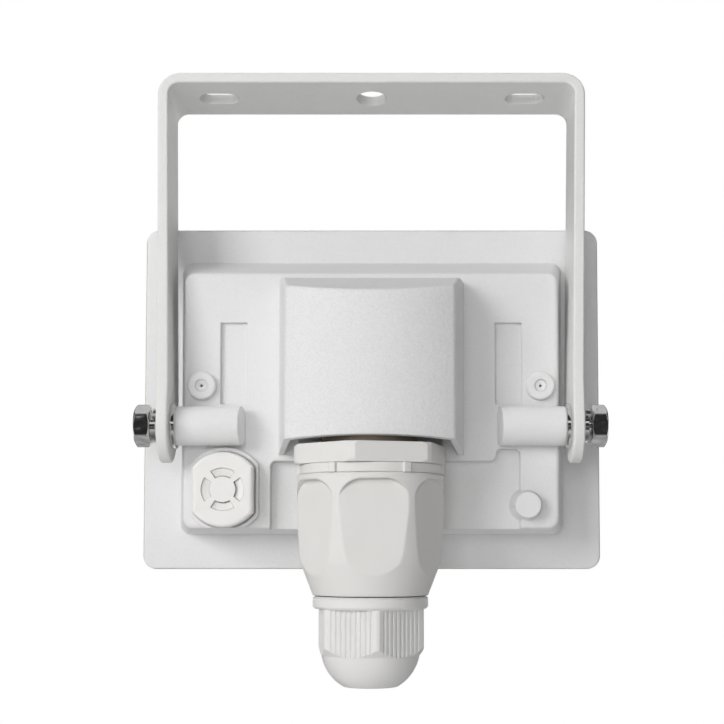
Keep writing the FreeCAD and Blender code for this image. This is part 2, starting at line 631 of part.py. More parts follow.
def make_bosses(case):
    """A pivot boss on each side, its inner end draughted."""
    crest, root = f"({BOSS_END} - boss_length)", f"({BOSS_END} - boss_length - boss_draught)"
    behind = "-boss_radius - assembly"
    for side, sign in (("right", ""), ("left", "-")):
        drawn = drawing(case, "YZ_Plane", f"pivot_boss_{side}_circle", f"{sign}{BOSS_END}")
        circle(drawn, "0", "0", "boss_radius")
        feature(case, "Pad", f"pivot_boss_{side}", drawn, length="boss_length + boss_draught",
                Reversed=side == "right")
        slope = outline(drawing(case, "XY_Plane", f"boss_end_{side}_outline"), [
            (f"{sign}{crest}", behind), (f"{sign}{root}", "block_back"),
            (f"{sign}({root} - boss_draught)", "block_back"), (f"{sign}({root} - boss_draught)", behind)])
        feature(case, "Pocket", f"boss_end_{side}", slope, length="3 * boss_radius", Midplane=True)


def cut_pivot_holes(case):
    """The bolts' holes, from the outer ends of the bosses inwards."""
    for side, sign in (("right", ""), ("left", "-")):
        drawn = drawing(case, "YZ_Plane", f"pivot_hole_{side}_circle", f"{sign}{BOSS_END}")
        circle(drawn, "0", "0", "bolt_radius + assembly")
        feature(case, "Pocket", f"pivot_hole_{side}", drawn, length="boss_depth", Reversed=side == "left")


def cut_from_behind(case, name, at, to, draw):
    """Cut straight into the rear of the casting, from one level to another."""
    drawn = drawing(case, "XZ_Plane", name + "_outline", f"-({at})")
    draw(drawn)
    return feature(case, "Pocket", name, drawn, length=f"({to}) - ({at})")


def cut_from_front(case, name, at, to, draw):
    """Cut straight into the front of the casting, from one level to another."""
    drawn = drawing(case, "XZ_Plane", name + "_outline", f"-({at})")
    draw(drawn)
    return feature(case, "Pocket", name, drawn, length=f"({at}) - ({to})", Reversed=True)


def pad_behind(case, name, foot, back, draw):
    """Raise a pad behind one level of the casting, up to another."""
    drawn = drawing(case, "XZ_Plane", name + "_outline", f"-({foot})")
    draw(drawn)
    return feature(case, "Pad", name, drawn, length=f"({foot}) - ({back})")


def centred(half, rise):
    """A rectangle centred on the flange."""
    return lambda drawn: rectangle(drawn, f"-({half})", half, f"{MIDDLE} - ({rise})", f"{MIDDLE} + ({rise})")


def screw_spots():
    """Places of the four screws that hold the LED board."""
    rise, across = f"({BOARD_RISE} - screw_edge)", f"({BOARD_HALF} - screw_inset)"
    top, foot = f"{MIDDLE} + {rise}", f"{MIDDLE} - {rise}"
    return [(across, top), (f"-{across}", top), ("screw_across_foot", foot), ("-screw_across_foot", foot)]


def post_spots():
    """Places of the four posts that carry the driver board."""
    across = f"({DRIVER_HALF} - post_inset)"
    levels = f"{DRIVER_FOOT} + post_inset", f"{DRIVER_TOP} - post_inset"
    return [(place, level) for place in (across, f"-{across}") for level in levels]


def discs(spots, radius):
    """Equal circles at several places."""
    def draw(drawn):
        for across, level in spots:
            circle(drawn, across, level, radius)
    return draw


def two_flats(radius, half, foot=None):
    """The vent's outline: a circle with a flat on each side, and at will cut off at its foot."""
    def draw(drawn):
        rise = f"sqrt({radius} * {radius} - {half} * {half})"
        left, right = f"{VENT_ACROSS} - {half}", f"{VENT_ACROSS} + {half}"
        low_end, high_end = f"vent_level - {rise}", f"vent_level + {rise}"
        lower = [(left, low_end, radius), (right, low_end)]
        if foot:
            near = f"sqrt({radius} * {radius} - (vent_level - ({foot})) * (vent_level - ({foot})))"
            lower = [(left, low_end, radius), (f"{VENT_ACROSS} - {near}", foot),
                     (f"{VENT_ACROSS} + {near}", foot, radius), (right, low_end)]
        outline(drawn, lower + [(right, high_end, radius), (left, high_end)])
    return draw


def make_rear_details(case):
    """Sunk panels, the lower step, the bosses and the vent's pad."""
    def panels(drawn):
        rectangle(drawn, "panel_in", "panel_out", "panel_foot", "panel_top")
        rectangle(drawn, "-panel_out", "-panel_in", "panel_foot", "panel_top")
    cut_from_behind(case, "panels", "block_back", "block_back + panel_depth", panels)

    def step(drawn):
        below = "block_root_foot - past"
        outline(drawn, [("-step_left", below), ("step_right", below),
                        ("step_right", "step_notch_top"), ("panel_in", "step_notch_top"),
                        ("panel_in", "step_top"), ("-step_left", "step_top")])
    step_cut = cut_from_behind(case, "lower_step", "block_back - past", "step_back", step)
    low, high, height = value("block_foot"), value("step_notch_top"), value("step_back - block_back")

    def on_step_corner(middle, run, edge):
        return (abs(run.y) > 0.99 and value("block_back") < middle.y < value("step_back")
                and low < middle.z < high + LOOSE and abs(edge.Length - height) < LOOSE)
    dress(case, "Fillet", "lower_step_corners", step_cut, on_step_corner, "step_corner")

    pad_behind(case, "vent_pad", "block_back + past", "vent_pad_back",
               two_flats("vent_pad_radius", "(vent_pad_flats / 2)", "block_foot + assembly"))
    cut_from_behind(case, "vent_recess_cut", "vent_pad_back", VENT_SEAT,
                    two_flats("(vent_radius + vent_gap)", "(vent_flats / 2 + vent_gap)"))

    for side, sign in (("right", ""), ("left", "-")):
        spot = [(sign + DIMPLE_ACROSS, "dimple_level")]
        raised = pad_behind(case, f"dimple_{side}", "block_back + past", DIMPLE_CREST,
                            discs(spot, "dimple_radius"))
        centre = Vector(value(spot[0][0]), value(DIMPLE_CREST), value("dimple_level"))

        def on_crest(middle, run, edge):
            return (abs(middle.y - centre.y) < NEAR
                    and abs(middle.distanceToPoint(centre) - value("dimple_radius")) < NEAR)
        dress(case, "Fillet", f"dimple_{side}_round", raised, on_crest, "dimple_round")
        cut_from_behind(case, f"dimple_pit_{side}", DIMPLE_CREST, f"{DIMPLE_CREST} + dimple_pit_depth",
                        discs(spot, "dimple_pit"))
    blank = case.newObject("PartDesign::AdditiveCone", "blank_boss")
    blank.AttachmentSupport = (origin_part(case, "XZ_Plane"), [""])
    blank.MapMode = "FlatFace"
    tie(blank, Radius1="blank_root", Radius2="blank_end", Height="step_back - blank_back + past / 2",
        AttachmentOffset__Base__x="block_half - blank_inset", AttachmentOffset__Base__y="blank_level",
        AttachmentOffset__Base__z="-(step_back + past / 2)")
    document.recompute()


def make_cable_room(case):
    """The scoop round the connector, the lip and seat over it, the threaded hole and the rooms."""
    def half_moon(radius):
        def draw(drawn):
            half = f"sqrt({radius} * {radius} - (block_back - gland_axis) * (block_back - gland_axis))"
            outline(drawn, [(f"-{half}", "block_back - past / 2"), (half, "block_back - past / 2"),
                            (half, "block_back", radius), (f"-{half}", "block_back")])
        return draw
    for name, radius, top, foot in (
            ("collar_scoop", "(collar_corner + collar_room)", "seat_level", "shell_room_top"),
            ("shell_scoop", "(shell_radius + shell_room)", "shell_room_top", "block_root_foot - past")):
        drawn = drawing(case, "XY_Plane", name + "_outline", top)
        half_moon(radius)(drawn)
        feature(case, "Pocket", name, drawn, length=f"({top}) - ({foot})")
    lip = drawing(case, "XY_Plane", "lip_outline", "seat_level")
    crown = f"({crown_radius()} - hood_lip)"
    shoulder, shoulder_back = "(hood_shoulder - hood_lip_side)", "hood_shoulder_back + hood_lip_shoulder"
    outline(lip, [("hood_lip_side - hood_half", "block_back"), (f"-{shoulder}", shoulder_back, crown),
                  (shoulder, shoulder_back), ("hood_half - hood_lip_side", "block_back")])
    feature(case, "Pocket", "hood_lip_cut", lip, length="seat_level - step_top + 2 * past")
    hole = circle(drawing(case, "XY_Plane", "entry_hole_circle", "hood_room_foot + past"),
                  "0", "gland_axis", "entry_radius + assembly")
    feature(case, "Pocket", "entry_hole", hole, length="hood_room_foot - seat_level + 2 * past")
    cut_from_front(case, "hood_room", "room_back + past", "hood_room_back", lambda drawn: rectangle(
        drawn, "-hood_room_half", "hood_room_half", "hood_room_foot", "hood_room_top"))


def make_front_rooms(case):
    """The seat of the glass, the tray, the board well, the driver room and the two low rooms."""
    ledge = f"{GLASS_BACK} - seal_wall"
    cut_from_front(case, "glass_seat", "flange_front", ledge, centred(SEAT_HALF, SEAT_RISE))
    cut_from_front(case, "tray", ledge, "tray_floor",
                   centred(f"{SEAT_HALF} - ledge", f"{SEAT_RISE} - ledge"))
    cut_from_front(case, "board_well", "tray_floor", "well_floor", centred(WELL_HALF, WELL_RISE))
    cut_from_front(case, "driver_room", "well_floor", "room_back", lambda drawn: rectangle(
        drawn, f"-{ROOM_HALF}", ROOM_HALF, "room_foot", "room_top"))

    def low_rooms(drawn):
        far, foot = f"({WELL_HALF} - low_room_ledge)", "block_foot + low_room_wall"
        rectangle(drawn, "low_room_in", far, foot, "low_room_top")
        rectangle(drawn, f"-{far}", "-low_room_in", foot, "low_room_top")
    cut_from_front(case, "low_rooms", "well_floor", "low_room_back", low_rooms)
    pad_from = drawing(case, "XZ_Plane", "posts_outline", "-driver_back")
    discs(post_spots(), "post_radius")(pad_from)
    feature(case, "Pad", "posts", pad_from, length="driver_back - room_back + past / 2")
    cut_from_front(case, "post_holes", "driver_back", "room_back + post_floor",
                   discs(post_spots(), "post_radius / 2 + assembly"))
    cut_from_front(case, "board_screw_holes", "well_floor", "well_floor - screw_reach",
                   discs(screw_spots(), "screw_radius + assembly"))
    vent = [(VENT_ACROSS, "vent_level")]
    cut_from_behind(case, "vent_hole", VENT_SEAT, "low_room_back + past / 2",
                    discs(vent, "vent_stem + assembly"))


def make_housing():
    """One casting from the flange to the hood."""
    case = body("rear_housing")
    make_block(case)
    make_hood(case)
    flange = drawing(case, "XZ_Plane", "flange_outline", "-flange_back")
    rectangle(flange, "-flange_half", "flange_half", "flange_foot", "flange_top")
    slab = feature(case, "Pad", "flange", flange, length="flange_front - flange_back", Reversed=True)
    half, back = value("flange_half"), value("flange_back")
    corners = dress(case, "Fillet", "flange_corners", slab,
                    lambda middle, run, edge: abs(run.y) > 0.99 and abs(abs(middle.x) - half) < NEAR,
                    "flange_corner")

    def on_flange_rear(middle, run, edge):
        inside = abs(middle.x) < value(ROOT_HALF) + LOOSE and (
            value("block_root_foot") - LOOSE < middle.z < value("block_root_top") + LOOSE)
        return abs(middle.y - back) < NEAR and not inside
    dress(case, "Fillet", "flange_rim_round", corners, on_flange_rear, "edge_round")
    make_bosses(case)
    make_rear_details(case)
    make_cable_room(case)
    make_front_rooms(case)
    cut_pivot_holes(case)
    in_head(case)
    return node("rear_housing", case)


# Pivot hardware
def make_pivot_hardware(side, sign):
    """The bolt, spring washer and flat washer of one side, drawn outwards along the pivot."""
    leg_in, leg_out = LEG_INSIDE, f"({LEG_OUTSIDE} + assembly)"
    spring_long = "(spring_wall + spring_rise)"
    under, crest = f"({leg_out} + {spring_long})", f"({leg_out} + {spring_long} + bolt_head)"
    corner = "(bolt_flats / 2 / cos(30))"
    face = "(bolt_flats / 2 - bolt_face)"
    slope = f"(({corner} - {face}) * tan(30))"
    profile = [(f"{under} - bolt_reach", "0"), (f"{under} - bolt_reach", "bolt_radius - bolt_point"),
               (f"{under} - bolt_reach + bolt_point", "bolt_radius"), (under, "bolt_radius"),
               (under, face), (f"{under} + {slope}", corner),
               (f"{crest} - {slope}", corner), (crest, face), (crest, "0")]
    bolt = turned(f"pivot_bolt_{side}", "XY_Plane", "H_Axis", [(f"{sign}({x})", y) for x, y in profile])
    flats = drawing(bolt, "YZ_Plane", f"bolt_flats_{side}", f"{sign}({under})")
    hexagon(flats, "bolt_flats", 0)
    circle(flats, "0", "0", "bolt_flats")
    feature(bolt, "Pocket", f"bolt_hexagon_{side}", flats, length="bolt_head", Reversed=side == "right")
    in_head(bolt)
    node(f"pivot_bolt_{side}", bolt)

    washer = turned(f"flat_washer_{side}", "XY_Plane", "H_Axis", [(f"{sign}({x})", y) for x, y in (
        (f"{leg_in} - flat_washer_wall", "bolt_radius + assembly"),
        (f"{leg_in} - flat_washer_wall", "flat_washer_radius"),
        (f"{leg_in} - assembly", "flat_washer_radius"),
        (f"{leg_in} - assembly", "bolt_radius + assembly"))], in_head)
    node(f"flat_washer_{side}", washer)

    spring = body(f"spring_washer_{side}")
    section = drawing(spring, "XY_Plane", f"spring_section_{side}")
    outline(section, [(f"{sign}({x})", y) for x, y in (
        (leg_out, "bolt_radius + assembly"), (leg_out, "bolt_radius + assembly + spring_wall"),
        (f"{leg_out} + spring_wall", "bolt_radius + assembly + spring_wall"),
        (f"{leg_out} + spring_wall", "bolt_radius + assembly"))])
    coil = spring.newObject("PartDesign::AdditiveHelix", f"spring_coil_{side}")
    coil.Profile = section
    coil.ReferenceAxis = (section, ["H_Axis"])
    coil.Mode = "pitch-turns-angle"
    tie(coil, Pitch="spring_rise / spring_turns", Turns="spring_turns")
    coil.Reversed = side == "left"
    document.recompute()
    in_head(spring)
    tie(spring, Placement__Rotation__Angle="head_tilt + spring_turn")
    node(f"spring_washer_{side}", spring)


# Vent
def make_vent():
    """A round cap with two flats and four arc slots, its stem, membrane, ring and nut."""
    back = f"({VENT_SEAT} - vent_height)"
    groove, inside = "(vent_stem + vent_groove)", f"({back} + vent_face)"
    bore, room = "(vent_stem - vent_wall)", "(vent_slot_out + vent_room_edge)"
    shelf = f"({inside} + vent_room)"
    end = "(low_room_back + vent_nut_height + vent_stem_end)"
    cap = turned("vent_cap", "XY_Plane", "V_Axis", [
        ("0", back), ("vent_radius", back), ("vent_radius", VENT_SEAT), (groove, VENT_SEAT),
        (groove, f"{VENT_SEAT} - 2 * ring_wire"), ("vent_stem", f"{VENT_SEAT} - 2 * ring_wire"),
        ("vent_stem", end), (bore, end), (bore, shelf), (room, shelf), (room, inside), ("0", inside)])
    rear = value(back)
    sides = drawing(cap, "XZ_Plane", "cap_flats", f"-({back} - past)")
    for sign in ("", "-"):
        near, far = f"{sign}vent_flats / 2", f"{sign}(vent_radius + past)"
        rectangle(sides, min(near, far, key=value), max(near, far, key=value), "-vent_radius", "vent_radius")
    feature(cap, "Pocket", "cap_flat_cut", sides, length="vent_height + past")
    slots = drawing(cap, "XZ_Plane", "cap_slot", f"-({back} - past)")
    lean = "vent_slot_half"
    near, far = "vent_slot_in", "vent_slot_out"
    outline(slots, [(f"{far} * sin({lean})", f"{far} * cos({lean})", far),
                    (f"-{far} * sin({lean})", f"{far} * cos({lean})"),
                    (f"-{near} * sin({lean})", f"{near} * cos({lean})", f"-{near}"),
                    (f"{near} * sin({lean})", f"{near} * cos({lean})")])
    slot_cut = feature(cap, "Pocket", "cap_slot_cut", slots, length="vent_face + past + vent_room / 2")
    repeat(cap, "PolarPattern", "cap_slots", [slot_cut], Axis=(origin_part(cap, "Y_Axis"), [""]),
           Angle=360, Occurrences=4)
    dress(cap, "Fillet", "cap_round", cap.Tip, lambda middle, run, edge: abs(middle.y - rear) < NEAR
          and math.hypot(middle.x, middle.z) > value("vent_flats") / 2 - LOOSE, "vent_round")
    place = (VENT_ACROSS, "0", "vent_level")
    in_head(cap, *place)
    node("vent_cap", cap)

    ring = document.addObject("Part::Torus", "vent_oring")
    tie(ring, Radius1="vent_stem + vent_groove / 2", Radius2="ring_wire - hair")
    in_head(ring, VENT_ACROSS, f"{VENT_SEAT} - ring_wire", "vent_level")
    tie(ring, Placement__Rotation__Angle="head_tilt + 90")
    node("vent_oring", ring)

    disc = turned("vent_membrane", "XY_Plane", "V_Axis", [
        ("0", f"{shelf} + assembly"), (f"{bore} - assembly", f"{shelf} + assembly"),
        (f"{bore} - assembly", f"{shelf} + vent_film"), ("0", f"{shelf} + vent_film")],
        lambda piece: in_head(piece, *place))
    node("vent_membrane", disc)

    nut = body("vent_nut")
    drawn = hexagon(drawing(nut, "XZ_Plane", "vent_nut_outline", "-low_room_back"), "vent_nut_flats", 90)
    circle(drawn, "0", "0", "vent_stem + assembly")
    feature(nut, "Pad", "vent_nut_pad", drawn, length="vent_nut_height", Reversed=True)
    in_head(nut, *place)
    node("vent_nut", nut)


# Cable connector
def make_entry():
    """The collar that screws into the hood, and the ring and gaskets on it."""
    neck_top = "(seat_level - gasket_wall)"
    entry = turned("gland_entry", "XZ_Plane", "V_Axis", [
        ("entry_bore", "entry_end"), ("entry_radius - entry_bevel", "entry_end"),
        ("entry_radius", "entry_end - entry_bevel"), ("entry_radius", neck_top),
        ("entry_neck", neck_top), ("entry_neck", "collar_top"),
        ("collar_corner - collar_bevel", "collar_top"), ("collar_corner", "collar_top - collar_bevel"),
        ("collar_corner", "collar_foot + collar_bevel"), ("collar_corner - collar_bevel", "collar_foot"),
        ("spigot_radius", "collar_foot"), ("spigot_radius", "spigot_end"), ("spigot_bore", "spigot_end"),
        ("spigot_bore", "collar_foot"), ("entry_bore", "collar_foot + entry_funnel")])
    flats = drawing(entry, "XY_Plane", "collar_hexagon", "collar_top")
    hexagon(flats, "collar_flats", "(collar_turn - 90)")
    circle(flats, "0", "0", "2 * collar_corner")
    feature(entry, "Pocket", "collar_flats_cut", flats, length="collar_top - collar_foot")
    on_gland(entry)
    node("gland_entry", entry)

    gasket = turned("entry_gasket", "XZ_Plane", "V_Axis", [
        ("entry_radius + assembly", "seat_level"), ("entry_neck", "seat_level"),
        ("entry_neck", neck_top), ("entry_radius + assembly", neck_top)], on_gland)
    node("entry_gasket", gasket)

    top, bore = "(collar_foot - assembly)", "(spigot_radius + running)"
    ring = turned("lock_ring", "XZ_Plane", "V_Axis", [
        (bore, top), ("shell_radius - lock_rib", top),
        ("shell_radius - lock_rib", "lock_foot + assembly"), (bore, "lock_foot + assembly")])
    outer = drawing(ring, "XY_Plane", "lock_rib_outline", top)
    rectangle(outer, "shell_radius - 2 * lock_rib", "shell_radius",
              "-lock_rib_width / 2", "lock_rib_width / 2")
    rib = feature(ring, "Pad", "lock_rib_pad", outer, length=f"{top} - lock_foot - assembly", Reversed=True)
    repeat(ring, "PolarPattern", "lock_ribs", [rib], Axis=(origin_part(ring, "Z_Axis"), [""]),
           Angle=360, Occurrences=6)
    on_gland(ring)
    node("lock_ring", ring)

    seal = turned("shell_gasket", "XZ_Plane", "V_Axis", [
        ("insert_radius + assembly", "spigot_end - assembly"), ("spigot_radius", "spigot_end - assembly"),
        ("spigot_radius", "insert_top + insert_gap"),
        ("insert_radius + assembly", "insert_top + insert_gap")], on_gland)
    node("shell_gasket", seal)


def make_shell():
    """The turned shell with six scooped flats and a threaded tail."""
    bore = "(spigot_radius + running)"
    insert = "(insert_radius + assembly)"
    shell = turned("connector_shell", "XZ_Plane", "V_Axis", [
        (bore, "lock_foot"), ("shell_radius - shell_bevel", "lock_foot"),
        ("shell_radius", "lock_foot - shell_bevel"),
        ("shell_radius - shell_fall", "(lock_foot + shell_waist_level) / 2"),
        ("shell_waist", "shell_waist_level"), ("shell_cone_radius", "shell_cone_top"),
        ("shell_end_radius", "shell_end"),
        ("tail_radius", "shell_end"), ("tail_radius", "tail_end"), ("tail_bore", "tail_end"),
        ("tail_bore", "insert_foot - insert_funnel"), (insert, "insert_foot"),
        (insert, "insert_top + insert_gap"), (bore, "insert_top + insert_gap")])
    facet = drawing(shell, "XZ_Plane", "facet_outline")
    facet.AttachmentOffset = Placement(Vector(), Rotation(Vector(0, 1, 0), value("facet_turn")))
    tie(facet, AttachmentOffset__Rotation__Angle="facet_turn",
        AttachmentOffset__Base__x=f"{FACET_REACH} * sin(facet_turn)",
        AttachmentOffset__Base__z=f"{FACET_REACH} * cos(facet_turn)")
    rounded(facet, "-facet_width / 2", "facet_width / 2", "facet_foot", "facet_top", "facet_corner")
    cut = feature(shell, "Pocket", "facet", facet, length=f"3 * {FACET_REACH}", Reversed=True)
    repeat(shell, "PolarPattern", "facets", [cut], Axis=(origin_part(shell, "Z_Axis"), [""]),
           Angle=360, Occurrences=6)
    on_gland(shell)
    node("connector_shell", shell)


def make_cable_clamp():
    """The contact insert, the clamping cage, the rubber grommet and the domed nut."""
    insert = turned("terminal_insert", "XZ_Plane", "V_Axis", [
        ("0", "insert_top"), ("insert_radius - insert_bevel", "insert_top"),
        ("insert_radius", "insert_top - insert_bevel"), ("insert_radius", "insert_foot"),
        ("0", "insert_foot")])
    holes = drawing(insert, "XY_Plane", "contact_holes", "insert_top")
    discs([(across, "0") for across in ("-lead_pitch", "0", "lead_pitch")],
          "lead_radius + contact_wall")(holes)
    feature(insert, "Pocket", "contact_hole_cut", holes, length="2 * (insert_top - insert_foot)")
    on_gland(insert)
    node("terminal_insert", insert)

    cage_top, rim, tips = "tail_end - assembly", "tail_end - cage_rim", "tail_end - cage_height"
    cage = turned("clamping_cage", "XZ_Plane", "V_Axis", [
        ("tail_bore", cage_top), ("tail_radius - cage_side", cage_top), ("tail_radius - cage_side", rim),
        ("tail_radius - cage_tip_out", tips), ("tail_radius - cage_tip_in", tips), ("tail_bore", rim)])
    gap = rectangle(drawing(cage, "XY_Plane", "cage_gap_outline", f"{rim} - cage_side"),
                    "0", "tail_radius + past", "-cage_gap / 2", "cage_gap / 2")
    cut = feature(cage, "Pocket", "cage_gap_cut", gap, length="cage_height")
    repeat(cage, "PolarPattern", "cage_gaps", [cut], Axis=(origin_part(cage, "Z_Axis"), [""]),
           Angle=360, Occurrences=8)
    on_gland(cage)
    node("clamping_cage", cage)

    grommet = turned("cable_grommet", "XZ_Plane", "V_Axis", [
        ("grommet_bore", "tail_end + grommet_rise"), ("tail_bore - assembly", "tail_end + grommet_rise"),
        ("tail_bore - assembly", rim), ("tail_radius - cage_tip_in - assembly", tips),
        ("grommet_bore", tips)], on_gland)
    node("cable_grommet", grommet)

    top, soft = "(shell_end - nut_gap)", "edge_round"
    nut = turned("dome_nut", "XZ_Plane", "V_Axis", [
        ("tail_radius + running", top), (f"shell_end_radius - {soft}", top),
        ("shell_end_radius", f"{top} - {soft}"),
        ("shell_end_radius", f"nut_ring_foot + {soft}"), (f"shell_end_radius - {soft}", "nut_ring_foot"),
        ("nut_corner", "nut_ring_foot"), ("nut_corner", "nut_hex_foot + nut_chamfer"),
        ("dome_radius + nut_step", "nut_hex_foot"),
        ("dome_radius", "nut_hex_foot - nut_land", "-dome_round"),
        ("dome_end_radius", "dome_end"), ("cable_hole", "dome_end"),
        ("cable_hole", "dome_end + cable_hole_land"),
        ("tail_radius - cage_tip_out + cage_side", f"{tips} - cage_side"), ("tail_radius + running", rim)])
    flats = drawing(nut, "XY_Plane", "nut_hexagon", "nut_ring_foot")
    hexagon(flats, "nut_flats", "(nut_turn - 60)")
    circle(flats, "0", "0", "2 * nut_corner")
    feature(nut, "Pocket", "nut_flats_cut", flats, length="nut_ring_foot - nut_hex_foot")
    groove_the_flats(nut)
    on_gland(nut)
    node("dome_nut", nut)


def groove_the_flats(nut):
    """Upright V grooves on each flat of the dome nut, for the fingers."""
    drawn = drawing(nut, "XY_Plane", "groove_outline")
    drawn.AttachmentOffset = Placement(Vector(), Rotation(Vector(0, 0, 1), value("nut_turn + 30")))
    tie(drawn, AttachmentOffset__Rotation__Angle="nut_turn + 30", AttachmentOffset__Base__z="nut_ring_foot")
    first = f"-{GROOVES_ON_A_FLAT // 2} * groove_pitch"
    outline(drawn, [(f"{first} - groove_width / 2", "-nut_flats / 2 - assembly"),
                    (f"{first} + groove_width / 2", "-nut_flats / 2 - assembly"),
                    (first, "groove_depth - nut_flats / 2")])
    cut = feature(nut, "Pocket", "groove", drawn, length="nut_ring_foot - nut_hex_foot")
    row = nut.newObject("PartDesign::LinearPattern", "grooves_on_a_flat")
    row.Direction = (drawn, ["H_Axis"])
    row.Occurrences = GROOVES_ON_A_FLAT
    tie(row, Length=f"{GROOVES_ON_A_FLAT - 1} * groove_pitch")
    ring = nut.newObject("PartDesign::PolarPattern", "grooves_round_the_nut")
    ring.Axis = (origin_part(nut, "Z_Axis"), [""])
    ring.Occurrences = 6
    repeat(nut, "MultiTransform", "grooves", [cut], Transformations=[row, ring])


def group(label, shapes):
    """Several equal pieces under one name, hung in the head."""
    made = document.addObject("Part::Feature", label)
    made.Shape = Part.makeCompound(shapes)
    in_head(made)
    return node(label, made)


def make_contacts_and_leads():
    """Three tubular contacts in the insert and the three leads up to the terminal block."""
    axis, pitch, radius = value("gland_axis"), value("lead_pitch"), value("lead_radius")
    top, foot = value("insert_top - insert_gap"), value("insert_foot + contact_inset")
    outside, depth = value("lead_radius + contact_wall - contact_gap"), value("contact_depth")
    down = Vector(0, 0, -1)
    contacts = []
    for across in (-pitch, 0.0, pitch):
        tube = Part.makeCylinder(outside, top - foot, Vector(across, axis, top), down)
        bore = Part.makeCylinder(radius, depth, Vector(across, axis, value("insert_foot") + depth), down)
        contacts.append(tube.cut(bore))
    group("contact_sockets", contacts)

    reach, level, bend = value(TERMINAL_FACE + " + lead_grip"), value(PORT_LEVEL), value("lead_bend")
    leads = []
    for across in (-pitch, 0.0, pitch):
        start = Vector(across, axis, value("insert_top + assembly"))
        corner = Vector(across, axis, level)
        rise, turn = corner - Vector(0, 0, bend), corner + Vector(0, bend, 0)
        middle = corner + Vector(0, bend, -bend) + Vector(0, -1, 1).normalize() * bend
        edges = [Part.makeLine(start, rise), Part.Arc(rise, middle, turn).toShape(),
                 Part.makeLine(turn, Vector(across, reach, level))]
        end = Part.Wire(Part.makeCircle(radius, start, Vector(0, 0, 1)))
        leads.append(Part.Wire(edges).makePipeShell([end], True, False))
    group("supply_leads", leads)


# Electronics
def board_screw(radius, head, head_wall, reach):
    """A pan-head screw along Y, its seat at the origin and its head towards the light."""
    tip, point, rim, crown = radius * 0.6, radius * 0.5, head_wall * 0.6, head * 0.7
    profile = [(0, -reach), (tip, -reach), (radius, point - reach), (radius, 0), (head, 0),
               (head, rim), (crown, head_wall), (0, head_wall)]
    points = [Vector(across, along, 0) for across, along in profile]
    face = Part.Face(Part.makePolygon(points + points[:1]))
    return face.revolve(Vector(), Vector(0, 1, 0), 360)


def make_driver():
    """The driver board on its posts, its screws, transformer, capacitor and terminal block."""
    board = body("driver_board")
    drawn = rectangle(drawing(board, "XZ_Plane", "driver_outline", "-driver_back"),
                      f"-{DRIVER_HALF}", DRIVER_HALF, DRIVER_FOOT, DRIVER_TOP)
    discs(post_spots(), "post_radius / 2 + assembly")(drawn)
    feature(board, "Pad", "driver_pad", drawn, length="board_wall", Reversed=True)
    in_head(board)
    node("driver_board", board)
    seat = value("driver_back + board_wall")
    screw = board_screw(value("post_radius") / 2, value("driver_screw_head"), value("driver_screw_wall"),
                        value("board_wall + driver_screw_grip"))
    group("driver_screws", [screw.translated(Vector(value(across), seat, value(level)))
                            for across, level in post_spots()])
    row = f"({DRIVER_FOOT} + part_row)"
    for label, left, level in (("transformer", "assembly", row),
                               ("terminal", "-terminal_width / 2", DRIVER_FOOT)):
        block = body(label)
        drawn = rectangle(drawing(block, "XZ_Plane", label + "_outline", "-driver_back"),
                          left, f"{left} + {label}_width", level, f"{level} + {label}_height")
        feature(block, "Pad", label + "_pad", drawn, length=label + "_depth")
        dress(block, "Fillet", label + "_round", block.Tip, lambda middle, run, edge: abs(run.y) > 0.99,
              "2 * edge_round")
        if label == "terminal":
            ports = drawing(block, "XZ_Plane", "terminal_ports", f"-{TERMINAL_FACE}")
            discs([(place, PORT_LEVEL) for place in ("-lead_pitch", "0", "lead_pitch")],
                  "lead_radius + assembly")(ports)
            feature(block, "Pocket", "terminal_port_cut", ports, length="terminal_port")
        in_head(block)
        node("terminal_block" if label == "terminal" else label, block)
    seam = "(can_length / 5)"
    can = turned("capacitor", "XZ_Plane", "V_Axis", [
        ("0", "0"), ("can_radius - edge_round", "0"), ("can_radius", "edge_round"),
        ("can_radius", f"{seam} - edge_round"), ("can_radius - edge_round", seam),
        ("can_radius", f"{seam} + edge_round"), ("can_radius", "can_length - edge_round"),
        ("can_radius - edge_round", "can_length"), ("0", "can_length")],
        lambda piece: in_head(piece, "-can_radius - can_gap", "driver_back - can_radius", row))
    node("capacitor", can)


